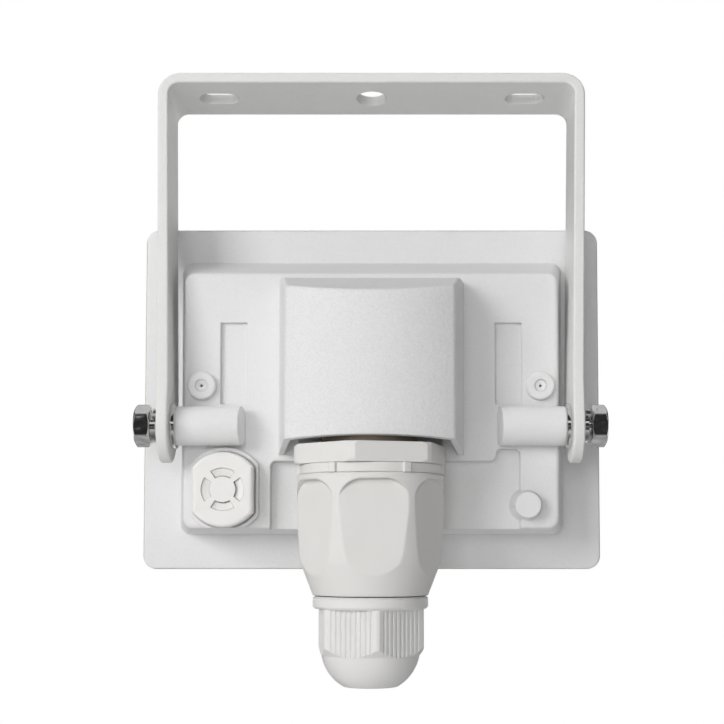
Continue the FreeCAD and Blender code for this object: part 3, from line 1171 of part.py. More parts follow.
def make_light():
    """The LED board on its thermal pad, LEDs, screws, reflector, glass and seal."""
    pad_back, board_back = "well_floor", "(well_floor + pad_wall)"
    for label, back, wall, inset, hole_gap in (
            ("thermal_pad", pad_back, "pad_wall", "pad_inset", "pad_hole_gap"),
            ("led_board", board_back, "board_wall", "0", "board_hole_gap")):
        sheet_body = body(label)
        drawn = drawing(sheet_body, "XZ_Plane", label + "_outline", f"-({back})")
        centred(f"{BOARD_HALF} - {inset}", f"{BOARD_RISE} - {inset}")(drawn)
        discs(screw_spots(), f"screw_radius + {hole_gap}")(drawn)
        feature(sheet_body, "Pad", label + "_pad", drawn, length=wall, Reversed=True)
        in_head(sheet_body)
        node(label, sheet_body)
    face = value("well_floor + pad_wall + board_wall")
    screw = board_screw(value("screw_radius"), value("screw_head"), value("screw_head_wall"),
                        value("screw_reach"))
    group("board_screws", [screw.translated(Vector(value(across), face, value(level)))
                           for across, level in screw_spots()])
    side, wall = value("led_side"), value("led_wall")
    chips = [Part.makeBox(side, wall, side, Vector(value(across) - side / 2, face, value(level) - side / 2))
             for across, level in led_spots()]
    group("led_chips", chips)

    brim = "(tray_floor + assembly)"
    floor_half, floor_rise = f"({BOARD_HALF} - bowl_slope)", f"({BOARD_RISE} - bowl_slope)"
    mouth_half, mouth_rise = f"({WELL_HALF} - bowl_gap)", f"({WELL_RISE} - bowl_gap)"
    reflector = body("reflector")
    outer = [drawing(reflector, "XZ_Plane", "bowl_floor", "-reflector_back"),
             drawing(reflector, "XZ_Plane", "bowl_mouth", f"-{brim}")]
    centred(floor_half, floor_rise)(outer[0])
    centred(mouth_half, mouth_rise)(outer[1])
    bowl = reflector.newObject("PartDesign::AdditiveLoft", "bowl")
    bowl.Profile, bowl.Sections, bowl.Ruled = outer[0], [outer[1]], True
    document.recompute()
    VOLUMES[reflector.Name] = bowl.Shape.Volume
    brim_outline = drawing(reflector, "XZ_Plane", "brim_outline", f"-{brim}")
    centred(f"{SEAT_HALF} - ledge - bowl_gap", f"{SEAT_RISE} - ledge - bowl_gap")(brim_outline)
    feature(reflector, "Pad", "brim", brim_outline, length="reflector_wall", Reversed=True)
    inner = [drawing(reflector, "XZ_Plane", "hollow_floor", "-(reflector_back + reflector_wall)"),
             drawing(reflector, "XZ_Plane", "hollow_mouth", f"-({brim} + reflector_wall + hair / 2)")]
    centred(f"{floor_half} - reflector_side", f"{floor_rise} - reflector_side")(inner[0])
    centred(f"{mouth_half} - reflector_side", f"{mouth_rise} - reflector_side")(inner[1])
    hollow = reflector.newObject("PartDesign::SubtractiveLoft", "hollow")
    hollow.Profile, hollow.Sections, hollow.Ruled = inner[0], [inner[1]], True
    document.recompute()
    VOLUMES[reflector.Name] = hollow.Shape.Volume
    holes = drawing(reflector, "XZ_Plane", "screw_windows", "-(reflector_back - past)")
    discs(screw_spots(), "screw_head + screw_window_gap")(holes)
    feature(reflector, "Pocket", "screw_window_cut", holes, length="reflector_wall + 2 * past")
    across, level = led_spots()[0]
    window = drawing(reflector, "XZ_Plane", "window", "-(reflector_back - past)")
    reach = "(led_side / 2 + window_gap)"
    rounded(window, f"{across} - {reach}", f"{across} + {reach}", f"{level} - {reach}", f"{level} + {reach}",
            "window_gap")
    cut = feature(reflector, "Pocket", "window_cut", window, length="reflector_wall + 2 * past")
    rows = []
    for role, pitch, count in (("X_Axis", "led_pitch_across", 4), ("Z_Axis", "led_pitch_up", 3)):
        row = reflector.newObject("PartDesign::LinearPattern", f"windows_along_{role[0].lower()}")
        row.Direction = (origin_part(reflector, role), [""])
        row.Occurrences = count
        tie(row, Length=f"{count - 1} * {pitch}")
        rows.append(row)
    repeat(reflector, "MultiTransform", "windows", [cut], Transformations=rows)
    in_head(reflector)
    node("reflector", reflector)

    glass = body("front_glass")
    edges = [f"(seal_wall - {SEAT_HALF})", f"({SEAT_HALF} - seal_wall)",
             f"({MIDDLE} - {SEAT_RISE} + seal_wall)", f"({MIDDLE} + {SEAT_RISE} - seal_wall)",
             "glass_corner"]
    drawn = rounded(drawing(glass, "XZ_Plane", "glass_outline", f"-{GLASS_BACK}"), *edges)
    feature(glass, "Pad", "glass_pad", drawn, length="glass_wall", Reversed=True)
    in_head(glass)
    node("front_glass", glass)

    seal = body("glass_seal")
    drawn = drawing(seal, "XZ_Plane", "seal_outline", f"-({GLASS_BACK} - seal_wall)")
    centred(SEAT_HALF, SEAT_RISE)(drawn)
    centred(f"{SEAT_HALF} - ledge", f"{SEAT_RISE} - ledge")(drawn)
    feature(seal, "Pad", "seal_pad", drawn, length="seal_wall + glass_wall", Reversed=True)
    seat = rounded(drawing(seal, "XZ_Plane", "seal_seat", f"-{GLASS_BACK}"), *edges)
    feature(seal, "Pocket", "seal_seat_cut", seat, length="glass_wall")
    in_head(seal)
    node("glass_seal", seal)


def led_spots():
    """Four columns and three rows of LEDs, centred on the board."""
    return [(f"led_pitch_across * {column}", f"{MIDDLE} + led_pitch_up * {row}")
            for column in (-1.5, -0.5, 0.5, 1.5) for row in (-1, 0, 1)]


make_bracket()
for side, sign in (("right", ""), ("left", "-")):
    make_pivot_hardware(side, sign)
make_vent()
make_entry()
make_shell()
make_cable_clamp()
make_contacts_and_leads()
make_driver()
make_light()
make_housing()
document.recompute()

# Every object and every piece has to be whole before anything is written
for thing in document.Objects:
    if "Invalid" in thing.State or "Error" in thing.State:
        raise RuntimeError(f"{thing.Name} failed: {thing.State}")
for piece in NODES:
    if piece.Shape.isNull() or not piece.Shape.isValid():
        raise RuntimeError(f"{piece.Label} has no valid shape")
os.makedirs("parts", exist_ok=True)
for piece in NODES:
    piece.Shape.exportStep(f"parts/{piece.Label}.step")
    print(piece.Label, len(piece.Shape.Solids), round(piece.Shape.Volume, 1))
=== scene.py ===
# A small white LED floodlight, seen from behind, hanging in its U-bracket.
# Everything is in metres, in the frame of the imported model.
import json
import math

import bpy
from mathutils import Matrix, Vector

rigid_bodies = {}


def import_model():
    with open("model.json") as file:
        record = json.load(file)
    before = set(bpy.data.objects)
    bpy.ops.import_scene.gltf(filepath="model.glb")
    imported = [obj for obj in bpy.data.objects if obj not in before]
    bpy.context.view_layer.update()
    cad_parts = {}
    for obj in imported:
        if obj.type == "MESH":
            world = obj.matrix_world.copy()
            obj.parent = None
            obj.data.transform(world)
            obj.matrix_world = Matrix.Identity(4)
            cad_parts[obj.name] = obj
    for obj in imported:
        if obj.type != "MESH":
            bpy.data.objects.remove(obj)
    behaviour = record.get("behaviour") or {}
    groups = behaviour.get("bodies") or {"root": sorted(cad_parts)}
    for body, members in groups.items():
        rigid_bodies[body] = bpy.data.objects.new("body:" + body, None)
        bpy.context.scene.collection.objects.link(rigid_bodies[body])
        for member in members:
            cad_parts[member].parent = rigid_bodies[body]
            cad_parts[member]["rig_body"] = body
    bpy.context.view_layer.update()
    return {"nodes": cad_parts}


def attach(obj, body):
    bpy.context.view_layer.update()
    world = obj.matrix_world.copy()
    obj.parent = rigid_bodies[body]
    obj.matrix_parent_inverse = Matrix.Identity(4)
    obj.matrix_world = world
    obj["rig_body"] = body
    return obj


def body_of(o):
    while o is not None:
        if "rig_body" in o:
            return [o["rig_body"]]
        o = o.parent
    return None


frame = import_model()
NODES = frame["nodes"]
HEAD = body_of(NODES["rear_housing"])[0]
MM = 0.001

# The head hangs from its pivot and leans by this much
PIVOT_LEVEL = -80 * MM
LEAN = math.radians(10)

# Places in the upright head, where the pivot is at 0 and the light shines along +Y
FLANGE_HALF = 52 * MM
FLANGE_FOOT = -31.2 * MM
FLANGE_TOP = 46.8 * MM
FLANGE_BACK = 17.5 * MM
GLASS_BORDER = 5.6 * MM
HOOD_FOOT = 2.0 * MM
HOOD_HALF = 19.5 * MM
COLLAR_TOP = -4.6 * MM
LED_PITCH = (16 * MM, 14 * MM)
PHOSPHOR_RADIUS = 1.35 * MM
LEAD_PITCH = 4 * MM

# The dimple bosses, and the dish in each as rings of one radius and depth in millimetres
DIMPLES_AT = [(across * MM, 1.4 * MM, 9.0 * MM) for across in (-37, 37)]
DISH = [(1.29, 0.98), (1.29, 0.22), (1.0, 0.32), (0.55, 0.52), (0.28, 0.60), (0.24, 0.95)]
DISH_SIDES = 40

# The vent cap, its arc slots, and how deep their floors lie at one end and, inside and outside, at the other
VENT_AT = (-31.8 * MM, -2.3 * MM, -13.8 * MM)
VENT_SLOT = (2.95 * MM, 4.55 * MM)
VENT_SLOTS = 4
VENT_SLOT_ANGLE = math.radians(66)
VENT_SLOT_STEPS = 12
RAMP_FLOOR = 1.25 * MM
RAMP_INNER = 0.85 * MM
RAMP_OUTER = 0.30 * MM

# How the coats look: a wide orange peel with a finer grit on it, and the hood's deeper relief
PEEL_GRAIN = 0.90 * MM
PEEL_DEPTH = 0.075 * MM
PEEL_SHARE = 0.75
GRIT_SCALE = 0.4
CLOUD_GRAIN = 9 * MM
PIT_GRAIN = 0.45 * MM
HOOD_RELIEF = 0.9
EDGE_LINE = 0.20 * MM
EDGE_DEPTH = 0.30 * MM
NYLON_RELIEF = 0.010 * MM
NECK_MARGIN = 0.05 * MM
SMOOTH_UNDER = math.radians(35)
DOUBLES = 0.002 * MM

# Camera, at the photograph's angle
CAMERA_AT = Vector((3.65, -296.19, -157.69)) * MM
CAMERA_PITCH = math.radians(13.769)
CAMERA_LENS = 70.32
CAMERA_SENSOR = 36.0
CAMERA_SHIFT = (-0.0356, 0.12)
CAMERA_CLIP = (0.01, 50.0)

# The studio: its floor, how bright its walls are, what the lamps face, and each lamp's place, size and power
FLOOR_LEVEL = -0.34
FLOOR_SIZE = 12
FLOOR_PAINT = 0.9
FLOOR_GLOW = 0.92
AMBIENT = 0.16
LAMPS_FACE = (0, 0, -0.07)
LAMPS = [
    ("key_lamp", (-0.60, -0.75, 0.05), 0.45, 4.6),
    ("front_lamp", (-0.10, -0.95, -0.10), 0.30, 1.5),
    ("low_lamp", (-0.05, -0.75, -0.55), 0.60, 0.3),
    ("top_lamp", (-0.10, -0.35, 0.75), 0.60, 1.7),
    ("glass_side_lamp", (0.45, 0.85, 0.20), 0.60, 4.5),
]

# What bright metal mirrors, from straight down at 0 to straight up at 1: how white each level is
MIRRORED = [
    (0.00, 0.10), (0.08, 0.30), (0.16, 0.55), (0.22, 0.03), (0.30, 0.05),
    (0.34, 0.30), (0.38, 0.02), (0.49, 0.03), (0.53, 0.85), (0.58, 0.90),
    (0.61, 0.02), (0.84, 0.02), (0.90, 0.45), (0.96, 0.60), (0.985, 0.05),
]

# Colours of the finishes, linear
WHITE = (1.0, 1.0, 1.0)
POWDER_WHITE = (0.80, 0.80, 0.80)
BRACKET_WHITE = (0.80, 0.80, 0.79)
NYLON_WHITE = (0.785, 0.775, 0.755)
NUT_WHITE = (0.80, 0.795, 0.785)
VENT_WHITE = (0.86, 0.85, 0.83)
INNER_WHITE = (0.66, 0.66, 0.63)
EDGE_TAN = (0.42, 0.34, 0.27)
# Painted shade: a dark brown for the entry's neck above the collar, standing for the shadow in the gap under
# the hood
NECK_SHADE = (0.16, 0.13, 0.10)
STEEL = (0.80, 0.80, 0.80)
ZINC = (0.62, 0.63, 0.64)
BRASS = (0.78, 0.57, 0.24)
BLACK_RUBBER = (0.025, 0.025, 0.025)
SILICONE = (0.60, 0.60, 0.60)
SOLDER_MASK = (0.82, 0.82, 0.82)
BOARD_GREEN = (0.02, 0.13, 0.05)
PHOSPHOR = (0.80, 0.50, 0.05)
TAPE = (0.55, 0.36, 0.05)
SLEEVE = (0.02, 0.02, 0.03)
NEUTRAL_BLUE = (0.02, 0.09, 0.40)
EARTH_GREEN = (0.04, 0.28, 0.06)
EARTH_YELLOW = (0.75, 0.60, 0.04)
LIVE_BROWN = (0.16, 0.06, 0.02)
TERMINAL_GREEN = (0.03, 0.20, 0.08)
PAD_GREY = (0.35, 0.40, 0.46)


class Wire:
    """A shader socket whose arithmetic adds Math nodes."""

    def __init__(self, tree, socket):
        self.tree, self.socket = tree, socket

    def _math(self, operation, *others):
        inputs = {0: self, **dict(enumerate(others, 1))}
        return self.tree.add("ShaderNodeMath", {"operation": operation}, inputs)

    def __add__(self, other):
        return self._math("ADD", other)

    def __sub__(self, other):
        return self._math("SUBTRACT", other)

    def __rsub__(self, other):
        return self.tree.add("ShaderNodeMath", {"operation": "SUBTRACT"}, {0: other, 1: self})

    def __mul__(self, other):
        return self._math("MULTIPLY", other)

    def __truediv__(self, other):
        return self._math("DIVIDE", other)

    def above(self, other):
        return self._math("GREATER_THAN", other)

    def below(self, other):
        return self._math("LESS_THAN", other)

    def size(self):
        return self._math("ABSOLUTE")

    def fraction(self):
        return self._math("FRACT")

    def root(self):
        return self._math("SQRT")

    def larger(self, other):
        return self._math("MAXIMUM", other)

    __radd__ = __add__


class Finish:
    """One material, or the world, and its node tree."""

    def __init__(self, name, world=False):
        self.made = bpy.data.worlds.new(name) if world else bpy.data.materials.new(name)
        self.made.use_nodes = True
        self.nodes, self.links = self.made.node_tree.nodes, self.made.node_tree.links
        self.nodes.clear()

    def add(self, kind, settings=None, inputs=None, output=0):
        """Add a node, set it up, fill its sockets with values or links and give one output."""
        node = self.nodes.new(kind)
        for name, setting in (settings or {}).items():
            if name == "stops":
                ramp = node.color_ramp.elements
                while len(ramp) < len(setting):
                    ramp.new(1.0)
                for element, (place, colour) in zip(ramp, setting):
                    element.position, element.color = place, colour
            else:
                setattr(node, name, setting)
        for name, given in (inputs or {}).items():
            if isinstance(given, Wire):
                self.links.new(given.socket, node.inputs[name])
            else:
                node.inputs[name].default_value = given
        return Wire(self, node.outputs[output])

    def place(self):
        """Where a point is on its piece."""
        return self.add("ShaderNodeTexCoord", output="Object")

    def parts(self, place):
        """The three parts of a vector."""
        return [self.add("ShaderNodeSeparateXYZ", inputs={0: place}, output=axis) for axis in range(3)]

    def noise(self, place, grain, detail=2.0):
        """Soft noise whose grain is a length in metres."""
        return self.add("ShaderNodeTexNoise", inputs={"Vector": place, "Scale": 1 / grain, "Detail": detail})

    def ramp(self, factor, stops):
        return self.add("ShaderNodeValToRGB", {"stops": stops}, {0: factor})

    def mix(self, factor, first, second):
        return self.add("ShaderNodeMix", {"data_type": "RGBA"}, {0: factor, 6: first, 7: second}, output=2)

    def times(self, first, second):
        return self.add("ShaderNodeMix", {"data_type": "RGBA", "blend_type": "MULTIPLY"},
                        {0: 1.0, 6: first, 7: second}, output=2)

    def soft_edges(self, radius):
        """Normals that round each edge a little."""
        return self.add("ShaderNodeBevel", {"samples": 6}, {"Radius": radius})

    def bump(self, height, depth, normal=None):
        inputs = {"Height": height, "Distance": depth, "Strength": 1.0}
        if normal is not None:
            inputs["Normal"] = normal
        return self.add("ShaderNodeBump", inputs=inputs)

    def finish(self, **inputs):
        """A principled surface as the material's output."""
        named = {name.replace("_", " "): given for name, given in inputs.items()}
        return self.end(self.add("ShaderNodeBsdfPrincipled", inputs=named))

    def end(self, surface):
        """Give the material or the world its output, and return it."""
        kind = "World" if isinstance(self.made, bpy.types.World) else "Material"
        output = self.nodes.new("ShaderNodeOutput" + kind)
        self.links.new(surface.socket, output.inputs["Surface"])
        return self.made


def shade(colour, factor=1.0):
    return tuple(part * factor for part in colour) + (1.0,)


def head_place(coat, place):
    """A point's place in the upright head: across, along the light and up from the pivot."""
    across, along, up = coat.parts(place)
    level = up - PIVOT_LEVEL
    return (across, along * math.cos(LEAN) + level * math.sin(LEAN),
            level * math.cos(LEAN) - along * math.sin(LEAN))


def powder_coat(name, colour, edge, rim=False):
    """White powder coat: orange peel with a finer grit on it, deeper on the hood, and a tan rear edge."""
    coat = Finish(name)
    place = coat.place()
    peel = coat.noise(place, PEEL_GRAIN, detail=1.0)
    grit = coat.noise(place, PEEL_GRAIN * GRIT_SCALE, detail=2.0)
    cloud = coat.noise(place, CLOUD_GRAIN, detail=3.0)
    tint = coat.mix(cloud, shade(colour, 0.985), shade(colour, 1.01))
    speck = coat.ramp(grit, [(0.30, shade(WHITE, 0.965)), (0.55, shade(WHITE))])
    tint = coat.times(tint, speck)
    height = peel * PEEL_SHARE + grit * (1 - PEEL_SHARE)
    if rim:
        across, along, level = head_place(coat, place)
        beyond = (across.size() - FLANGE_HALF).larger(FLANGE_FOOT - level).larger(level - FLANGE_TOP)
        line = beyond.above(-EDGE_LINE) * along.below(FLANGE_BACK + EDGE_DEPTH)
        tint = coat.mix(line * (0.35 + cloud * 0.7), tint, shade(EDGE_TAN))
        pits = coat.ramp(coat.noise(place, PIT_GRAIN), [
            (0.34, shade(WHITE, 0.955)), (0.60, shade(WHITE, 1.01))])
        hood = along.below(HOOD_FOOT) * across.size().below(HOOD_HALF)
        tint = coat.mix(hood, tint, coat.times(tint, pits))
        height = height * (1 + hood * HOOD_RELIEF)
    normal = coat.bump(height, PEEL_DEPTH, coat.soft_edges(edge))
    return coat.finish(Base_Color=tint, Roughness=0.48 + cloud * 0.10, Normal=normal)


def moulded_nylon(name, colour, roughness=0.42, edge=0.25 * MM, shaded_neck=False):
    """Moulded plastic: nearly smooth, with a faint grain, soft edges and perhaps painted shade on the entry's
    neck above the collar.
    """
    plastic = Finish(name)
    place = plastic.place()
    grain = plastic.noise(place, 0.5 * MM, detail=2.0)
    cloud = plastic.noise(place, 7 * MM, detail=2.0)
    tint = plastic.mix(cloud, shade(colour, 0.98), shade(colour, 1.01))
    # Painted shade: the neck above the collar's top is darkened where the gap under the hood lies in shadow
    if shaded_neck:
        level = head_place(plastic, place)[2]
        tint = plastic.mix(level.above(COLLAR_TOP + NECK_MARGIN), tint, shade(NECK_SHADE))
    normal = plastic.bump(grain, NYLON_RELIEF, plastic.soft_edges(edge))
    return plastic.finish(Base_Color=tint, Roughness=roughness + cloud * 0.08, Normal=normal)


def bright_steel(name):
    """Bright plated steel with a patchy roughness, faint dents and softly rounded edges."""
    steel = Finish(name)
    place = steel.place()
    cloud = steel.noise(place, 2.2 * MM, detail=3.0)
    dents = steel.noise(place, 3.0 * MM, detail=1.0)
    normal = steel.bump(dents, 0.22 * MM, steel.soft_edges(0.3 * MM))
    return steel.finish(Base_Color=shade(STEEL), Metallic=1.0, Roughness=0.05 + cloud * 0.10, Normal=normal)


def plain(name, colour, roughness=0.5, metallic=0.0, grain=0.6 * MM, depth=0.01 * MM):
    """A simple moulded, rubber or metal finish with a light grain."""
    stuff = Finish(name)
    place = stuff.place()
    fleck = stuff.noise(place, grain, detail=2.0)
    tint = stuff.mix(fleck, shade(colour, 0.93), shade(colour, 1.05))
    return stuff.finish(Base_Color=tint, Metallic=metallic, Roughness=roughness + fleck * 0.08,
                        Normal=stuff.bump(fleck, depth))


def led_distance(stuff):
    """How far a point is from the middle of the nearest LED."""
    across, along, level = head_place(stuff, stuff.place())
    middle = (FLANGE_TOP + FLANGE_FOOT) / 2
    beside = ((across / LED_PITCH[0]).fraction() - 0.5) * LED_PITCH[0]
    above = (((level - middle) / LED_PITCH[1] + 0.5).fraction() - 0.5) * LED_PITCH[1]
    return (beside * beside + above * above).root()


def led_face(name):
    """A white LED body with a round yellow phosphor window."""
    chip = Finish(name)
    body = 1 - led_distance(chip).above(PHOSPHOR_RADIUS)
    grain = chip.noise(chip.place(), 0.25 * MM, detail=2.0)
    yellow = chip.mix(grain, shade(PHOSPHOR, 0.92), shade(PHOSPHOR, 1.06))
    tint = chip.mix(body, shade(POWDER_WHITE), yellow)
    return chip.finish(Base_Color=tint, Roughness=0.45 - body * 0.20, Normal=chip.bump(grain * body, 0.02 * MM))


def coloured_leads(name):
    """Three jackets side by side: blue, green and yellow, and brown."""
    jacket = Finish(name)
    place = jacket.place()
    across, along, up = jacket.parts(place)
    stripe = (up / (3 * MM) + along / (3 * MM)).fraction().above(0.65)
    earth = jacket.mix(stripe, shade(EARTH_GREEN), shade(EARTH_YELLOW))
    tint = jacket.mix(across.above(LEAD_PITCH / 2), jacket.mix(
        across.below(-LEAD_PITCH / 2), earth, shade(NEUTRAL_BLUE)), shade(LIVE_BROWN))
    grain = jacket.noise(place, 0.5 * MM)
    return jacket.finish(Base_Color=tint, Roughness=0.38 + grain * 0.1, Normal=jacket.bump(grain, 0.01 * MM))


def clear_glass(name):
    """Clear toughened glass with a plain white border, and shadows that let the light through."""
    glass = Finish(name)
    across, along, level = head_place(glass, glass.place())
    middle, half = (FLANGE_TOP + FLANGE_FOOT) / 2, (FLANGE_TOP - FLANGE_FOOT) / 2
    inside = (across.size() - FLANGE_HALF).larger((level - middle).size() - half)
    border = inside.above(-GLASS_BORDER)
    path = glass.add("ShaderNodeLightPath", output="Is Shadow Ray")
    diffuse = glass.add("ShaderNodeLightPath", output="Is Diffuse Ray")
    clear = glass.add("ShaderNodeBsdfPrincipled", inputs={
        "Base Color": shade((0.97, 0.99, 0.98)), "Roughness": 0.01, "IOR": 1.5, "Transmission Weight": 1.0})
    open_way = glass.add("ShaderNodeBsdfTransparent", inputs={0: shade((0.96, 0.98, 0.97))})
    printed = glass.add("ShaderNodeBsdfPrincipled", inputs={
        "Base Color": shade(POWDER_WHITE), "Roughness": 0.18, "Coat Weight": 1.0, "Coat Roughness": 0.02})
    pane = glass.add("ShaderNodeMixShader", inputs={0: path.larger(diffuse), 1: clear, 2: open_way})
    return glass.end(glass.add("ShaderNodeMixShader", inputs={0: border, 1: pane, 2: printed}))


def dress(material, *names):
    """Give CAD nodes a finish."""
    for name in names:
        for slot in NODES[name].material_slots:
            slot.material = material


housing_coat = powder_coat("housing_coat", POWDER_WHITE, edge=0.5 * MM, rim=True)
dress(housing_coat, "rear_housing")
dress(powder_coat("bracket_coat", BRACKET_WHITE, edge=0.3 * MM), "bracket")
# The entry's neck gets painted shade above the collar
dress(moulded_nylon("entry_nylon", NYLON_WHITE, edge=0.4 * MM, shaded_neck=True), "gland_entry")
dress(moulded_nylon("ring_nylon", NYLON_WHITE, edge=0.4 * MM), "lock_ring")
dress(moulded_nylon("shell_nylon", NYLON_WHITE, edge=0.8 * MM), "connector_shell")
dress(moulded_nylon("nut_nylon", NUT_WHITE, 0.40, edge=0.2 * MM), "dome_nut")
vent_plastic = moulded_nylon("vent_plastic", VENT_WHITE, 0.36)
dress(vent_plastic, "vent_cap", "vent_nut")
dress(moulded_nylon("inner_nylon", INNER_WHITE, 0.45), "terminal_insert", "clamping_cage")
dress(bright_steel("bright_steel"), "pivot_bolt_left", "pivot_bolt_right", "spring_washer_left",
      "spring_washer_right", "flat_washer_left", "flat_washer_right")
dress(plain("black_rubber", BLACK_RUBBER, 0.65), "vent_oring", "entry_gasket", "shell_gasket", "cable_grommet")
dress(plain("membrane_weave", VENT_WHITE, 0.8, grain=0.1 * MM), "vent_membrane")
dress(plain("grey_silicone", SILICONE, 0.55), "glass_seal")
dress(plain("reflector_white", POWDER_WHITE, 0.22, grain=2 * MM, depth=0.006 * MM), "reflector")
dress(plain("white_mask", SOLDER_MASK, 0.38, grain=1.2 * MM), "led_board")
dress(led_face("led_face"), "led_chips")
dress(plain("thermal_pad_grey", PAD_GREY, 0.75), "thermal_pad")
dress(plain("green_board", BOARD_GREEN, 0.35, grain=0.8 * MM), "driver_board")
dress(plain("zinc_screws", ZINC, 0.28, metallic=1.0), "board_screws", "driver_screws")
dress(plain("transformer_tape", TAPE, 0.30, grain=1.5 * MM), "transformer")
dress(plain("capacitor_sleeve", SLEEVE, 0.25, grain=2 * MM), "capacitor")
dress(plain("terminal_plastic", TERMINAL_GREEN, 0.40), "terminal_block")
dress(coloured_leads("lead_jackets"), "supply_leads")
dress(plain("turned_brass", BRASS, 0.22, metallic=1.0), "contact_sockets")
dress(clear_glass("clear_glass"), "front_glass")


def in_head(across, along, level):
    """The place in the frame of a point that is given in the upright head."""
    return Vector((across, along * math.cos(LEAN) - level * math.sin(LEAN),
                   along * math.sin(LEAN) + level * math.cos(LEAN) + PIVOT_LEVEL))


def start_piece(name):
    """Take hold of the primitive that was just added, in edit mode with nothing selected."""
    piece = bpy.context.object
    piece.name = name
    bpy.ops.object.mode_set(mode="EDIT")
    bpy.ops.mesh.select_all(action="DESELECT")
    bpy.ops.object.mode_set(mode="OBJECT")
    return piece


def close_piece(piece):
    """Merge doubles, turn the faces outwards and leave the piece unmoved at the origin."""
    bpy.ops.object.mode_set(mode="EDIT")
    bpy.ops.mesh.select_all(action="SELECT")
    bpy.ops.mesh.remove_doubles(threshold=DOUBLES)
    bpy.ops.mesh.normals_make_consistent(inside=False)
    bpy.ops.object.mode_set(mode="OBJECT")
    bpy.ops.object.transform_apply(location=True, rotation=True, scale=True)
    bpy.ops.object.shade_smooth_by_angle(angle=SMOOTH_UNDER)


def make_vent_ramps(material):
    """A sloping floor in each arc slot of the vent cap, with a slit left along its inner side."""
    centre, axis = in_head(*VENT_AT), in_head(0, 1, 0) - in_head(0, 0, 0)
    inner, outer = VENT_SLOT
    for quarter in range(VENT_SLOTS):
        bpy.ops.object.select_all(action="DESELECT")
        bpy.ops.mesh.primitive_plane_add(size=1)
        ramp = start_piece(f"vent_ramp_{quarter + 1}")
        turn = quarter * math.tau / VENT_SLOTS + VENT_SLOT_ANGLE / 2
        for corner, (radius, depth) in zip(ramp.data.vertices, (
                (inner, RAMP_FLOOR), (outer, RAMP_FLOOR), (inner, RAMP_INNER), (outer, RAMP_OUTER))):
            corner.co = in_head(VENT_AT[0] + radius * math.sin(turn), VENT_AT[1] + depth,
                                VENT_AT[2] + radius * math.cos(turn))
        bpy.ops.object.mode_set(mode="EDIT")
        bpy.ops.mesh.select_all(action="SELECT")
        bpy.ops.mesh.spin(steps=VENT_SLOT_STEPS, angle=VENT_SLOT_ANGLE, center=centre, axis=axis)
        bpy.ops.object.mode_set(mode="OBJECT")
        close_piece(ramp)
        ramp.data.materials.append(material)
        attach(ramp, HEAD)


def make_dimple_dishes(material):
    """A shallow dish with a pin mark in the middle of each dimple boss."""
    for side, spot in zip(("left", "right"), DIMPLES_AT):
        bpy.ops.object.select_all(action="DESELECT")
        reach, depth = DISH[0]
        bpy.ops.mesh.primitive_circle_add(
            vertices=DISH_SIDES, radius=reach * MM, rotation=(LEAN + math.pi / 2, 0, 0),
            location=in_head(spot[0], spot[1] + depth * MM, spot[2]))
        dish = start_piece(f"dimple_dish_{side}")
        bpy.ops.object.transform_apply(location=False, rotation=False, scale=True)
        bpy.ops.object.mode_set(mode="EDIT")
        bpy.ops.mesh.select_all(action="SELECT")
        bpy.ops.mesh.edge_face_add()
        for (before, level), (radius, below) in zip(DISH, DISH[1:]):
            bpy.ops.mesh.extrude_region_move(TRANSFORM_OT_translate={
                "value": in_head(0, (below - level) * MM, 0) - in_head(0, 0, 0)})
            bpy.ops.transform.resize(value=(radius / before,) * 3, center_override=in_head(
                spot[0], spot[1] + below * MM, spot[2]))
        bpy.ops.object.mode_set(mode="OBJECT")
        close_piece(dish)
        dish.data.materials.append(material)
        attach(dish, HEAD)


def make_camera():
    """The camera at the photograph's place, looking up along the head's rear."""
    lens = bpy.data.cameras.new("camera")
    lens.lens, lens.sensor_width = CAMERA_LENS, CAMERA_SENSOR
    lens.shift_x, lens.shift_y = CAMERA_SHIFT
    lens.clip_start, lens.clip_end = CAMERA_CLIP
    camera = bpy.data.objects.new("camera", lens)
    bpy.context.scene.collection.objects.link(camera)
    camera.location = CAMERA_AT
    camera.rotation_euler = (math.pi / 2 + CAMERA_PITCH, 0, 0)
    bpy.context.scene.camera = camera


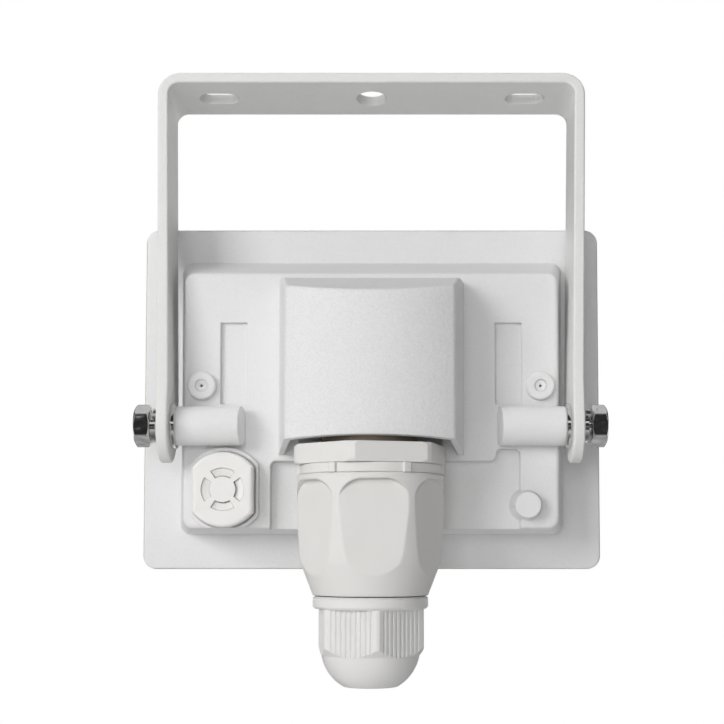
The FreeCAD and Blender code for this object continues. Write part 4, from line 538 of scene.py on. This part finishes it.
def make_lamp(name, place, size, watts):
    """A soft square lamp that lights the head, and that bright metal doesn't show."""
    lamp = bpy.data.lights.new(name, "AREA")
    lamp.size, lamp.energy = size, watts
    made = bpy.data.objects.new(name, lamp)
    bpy.context.scene.collection.objects.link(made)
    made.location = place
    made.rotation_euler = (Vector(LAMPS_FACE) - Vector(place)).to_track_quat("-Z", "Y").to_euler()
    made.visible_glossy = False


def make_studio():
    """A pale floor, a surround that is white for the camera and striped for bright metal, and soft lamps."""
    bpy.ops.mesh.primitive_plane_add(size=FLOOR_SIZE, location=(0, 0, FLOOR_LEVEL))
    floor = bpy.context.object
    floor.name = "floor"
    paint = Finish("floor_paint")
    ray = paint.add("ShaderNodeLightPath", output="Is Camera Ray")
    mirrored = paint.add("ShaderNodeLightPath", output="Is Glossy Ray")
    matt = paint.add("ShaderNodeBsdfDiffuse", inputs={"Color": shade(WHITE, FLOOR_PAINT)})
    glow = paint.add("ShaderNodeEmission", inputs={"Color": shade(WHITE), "Strength": 1.0})
    gone = paint.add("ShaderNodeBsdfTransparent", inputs={"Color": shade(WHITE)})
    seen = paint.add("ShaderNodeMixShader", inputs={0: ray * FLOOR_GLOW, 1: matt, 2: glow})
    whole = paint.add("ShaderNodeMixShader", inputs={0: mirrored, 1: seen, 2: gone})
    floor.data.materials.append(paint.end(whole))

    surround = Finish("surround", world=True)
    seen = surround.add("ShaderNodeLightPath", output="Is Camera Ray")
    through = surround.add("ShaderNodeLightPath", output="Is Transmission Ray")
    glossy = surround.add("ShaderNodeLightPath", output="Is Glossy Ray")
    way = surround.parts(surround.add("ShaderNodeTexCoord", output="Generated"))[2]
    walls = surround.ramp(way * 0.5 + 0.5, [(level, shade(WHITE, bright)) for level, bright in MIRRORED])
    white = seen.larger(through)
    colour = surround.mix(glossy * (1 - white), shade(WHITE), walls)
    strength = white + (1 - white) * (glossy + (1 - glossy) * AMBIENT)
    surround.end(surround.add("ShaderNodeBackground", inputs={"Color": colour, "Strength": strength}))
    bpy.context.scene.world = surround.made

    for name, place, size, watts in LAMPS:
        make_lamp(name, place, size, watts)


make_vent_ramps(vent_plastic)
make_dimple_dishes(housing_coat)
make_camera()
make_studio()
bpy.context.scene.view_settings.view_transform = "Standard"
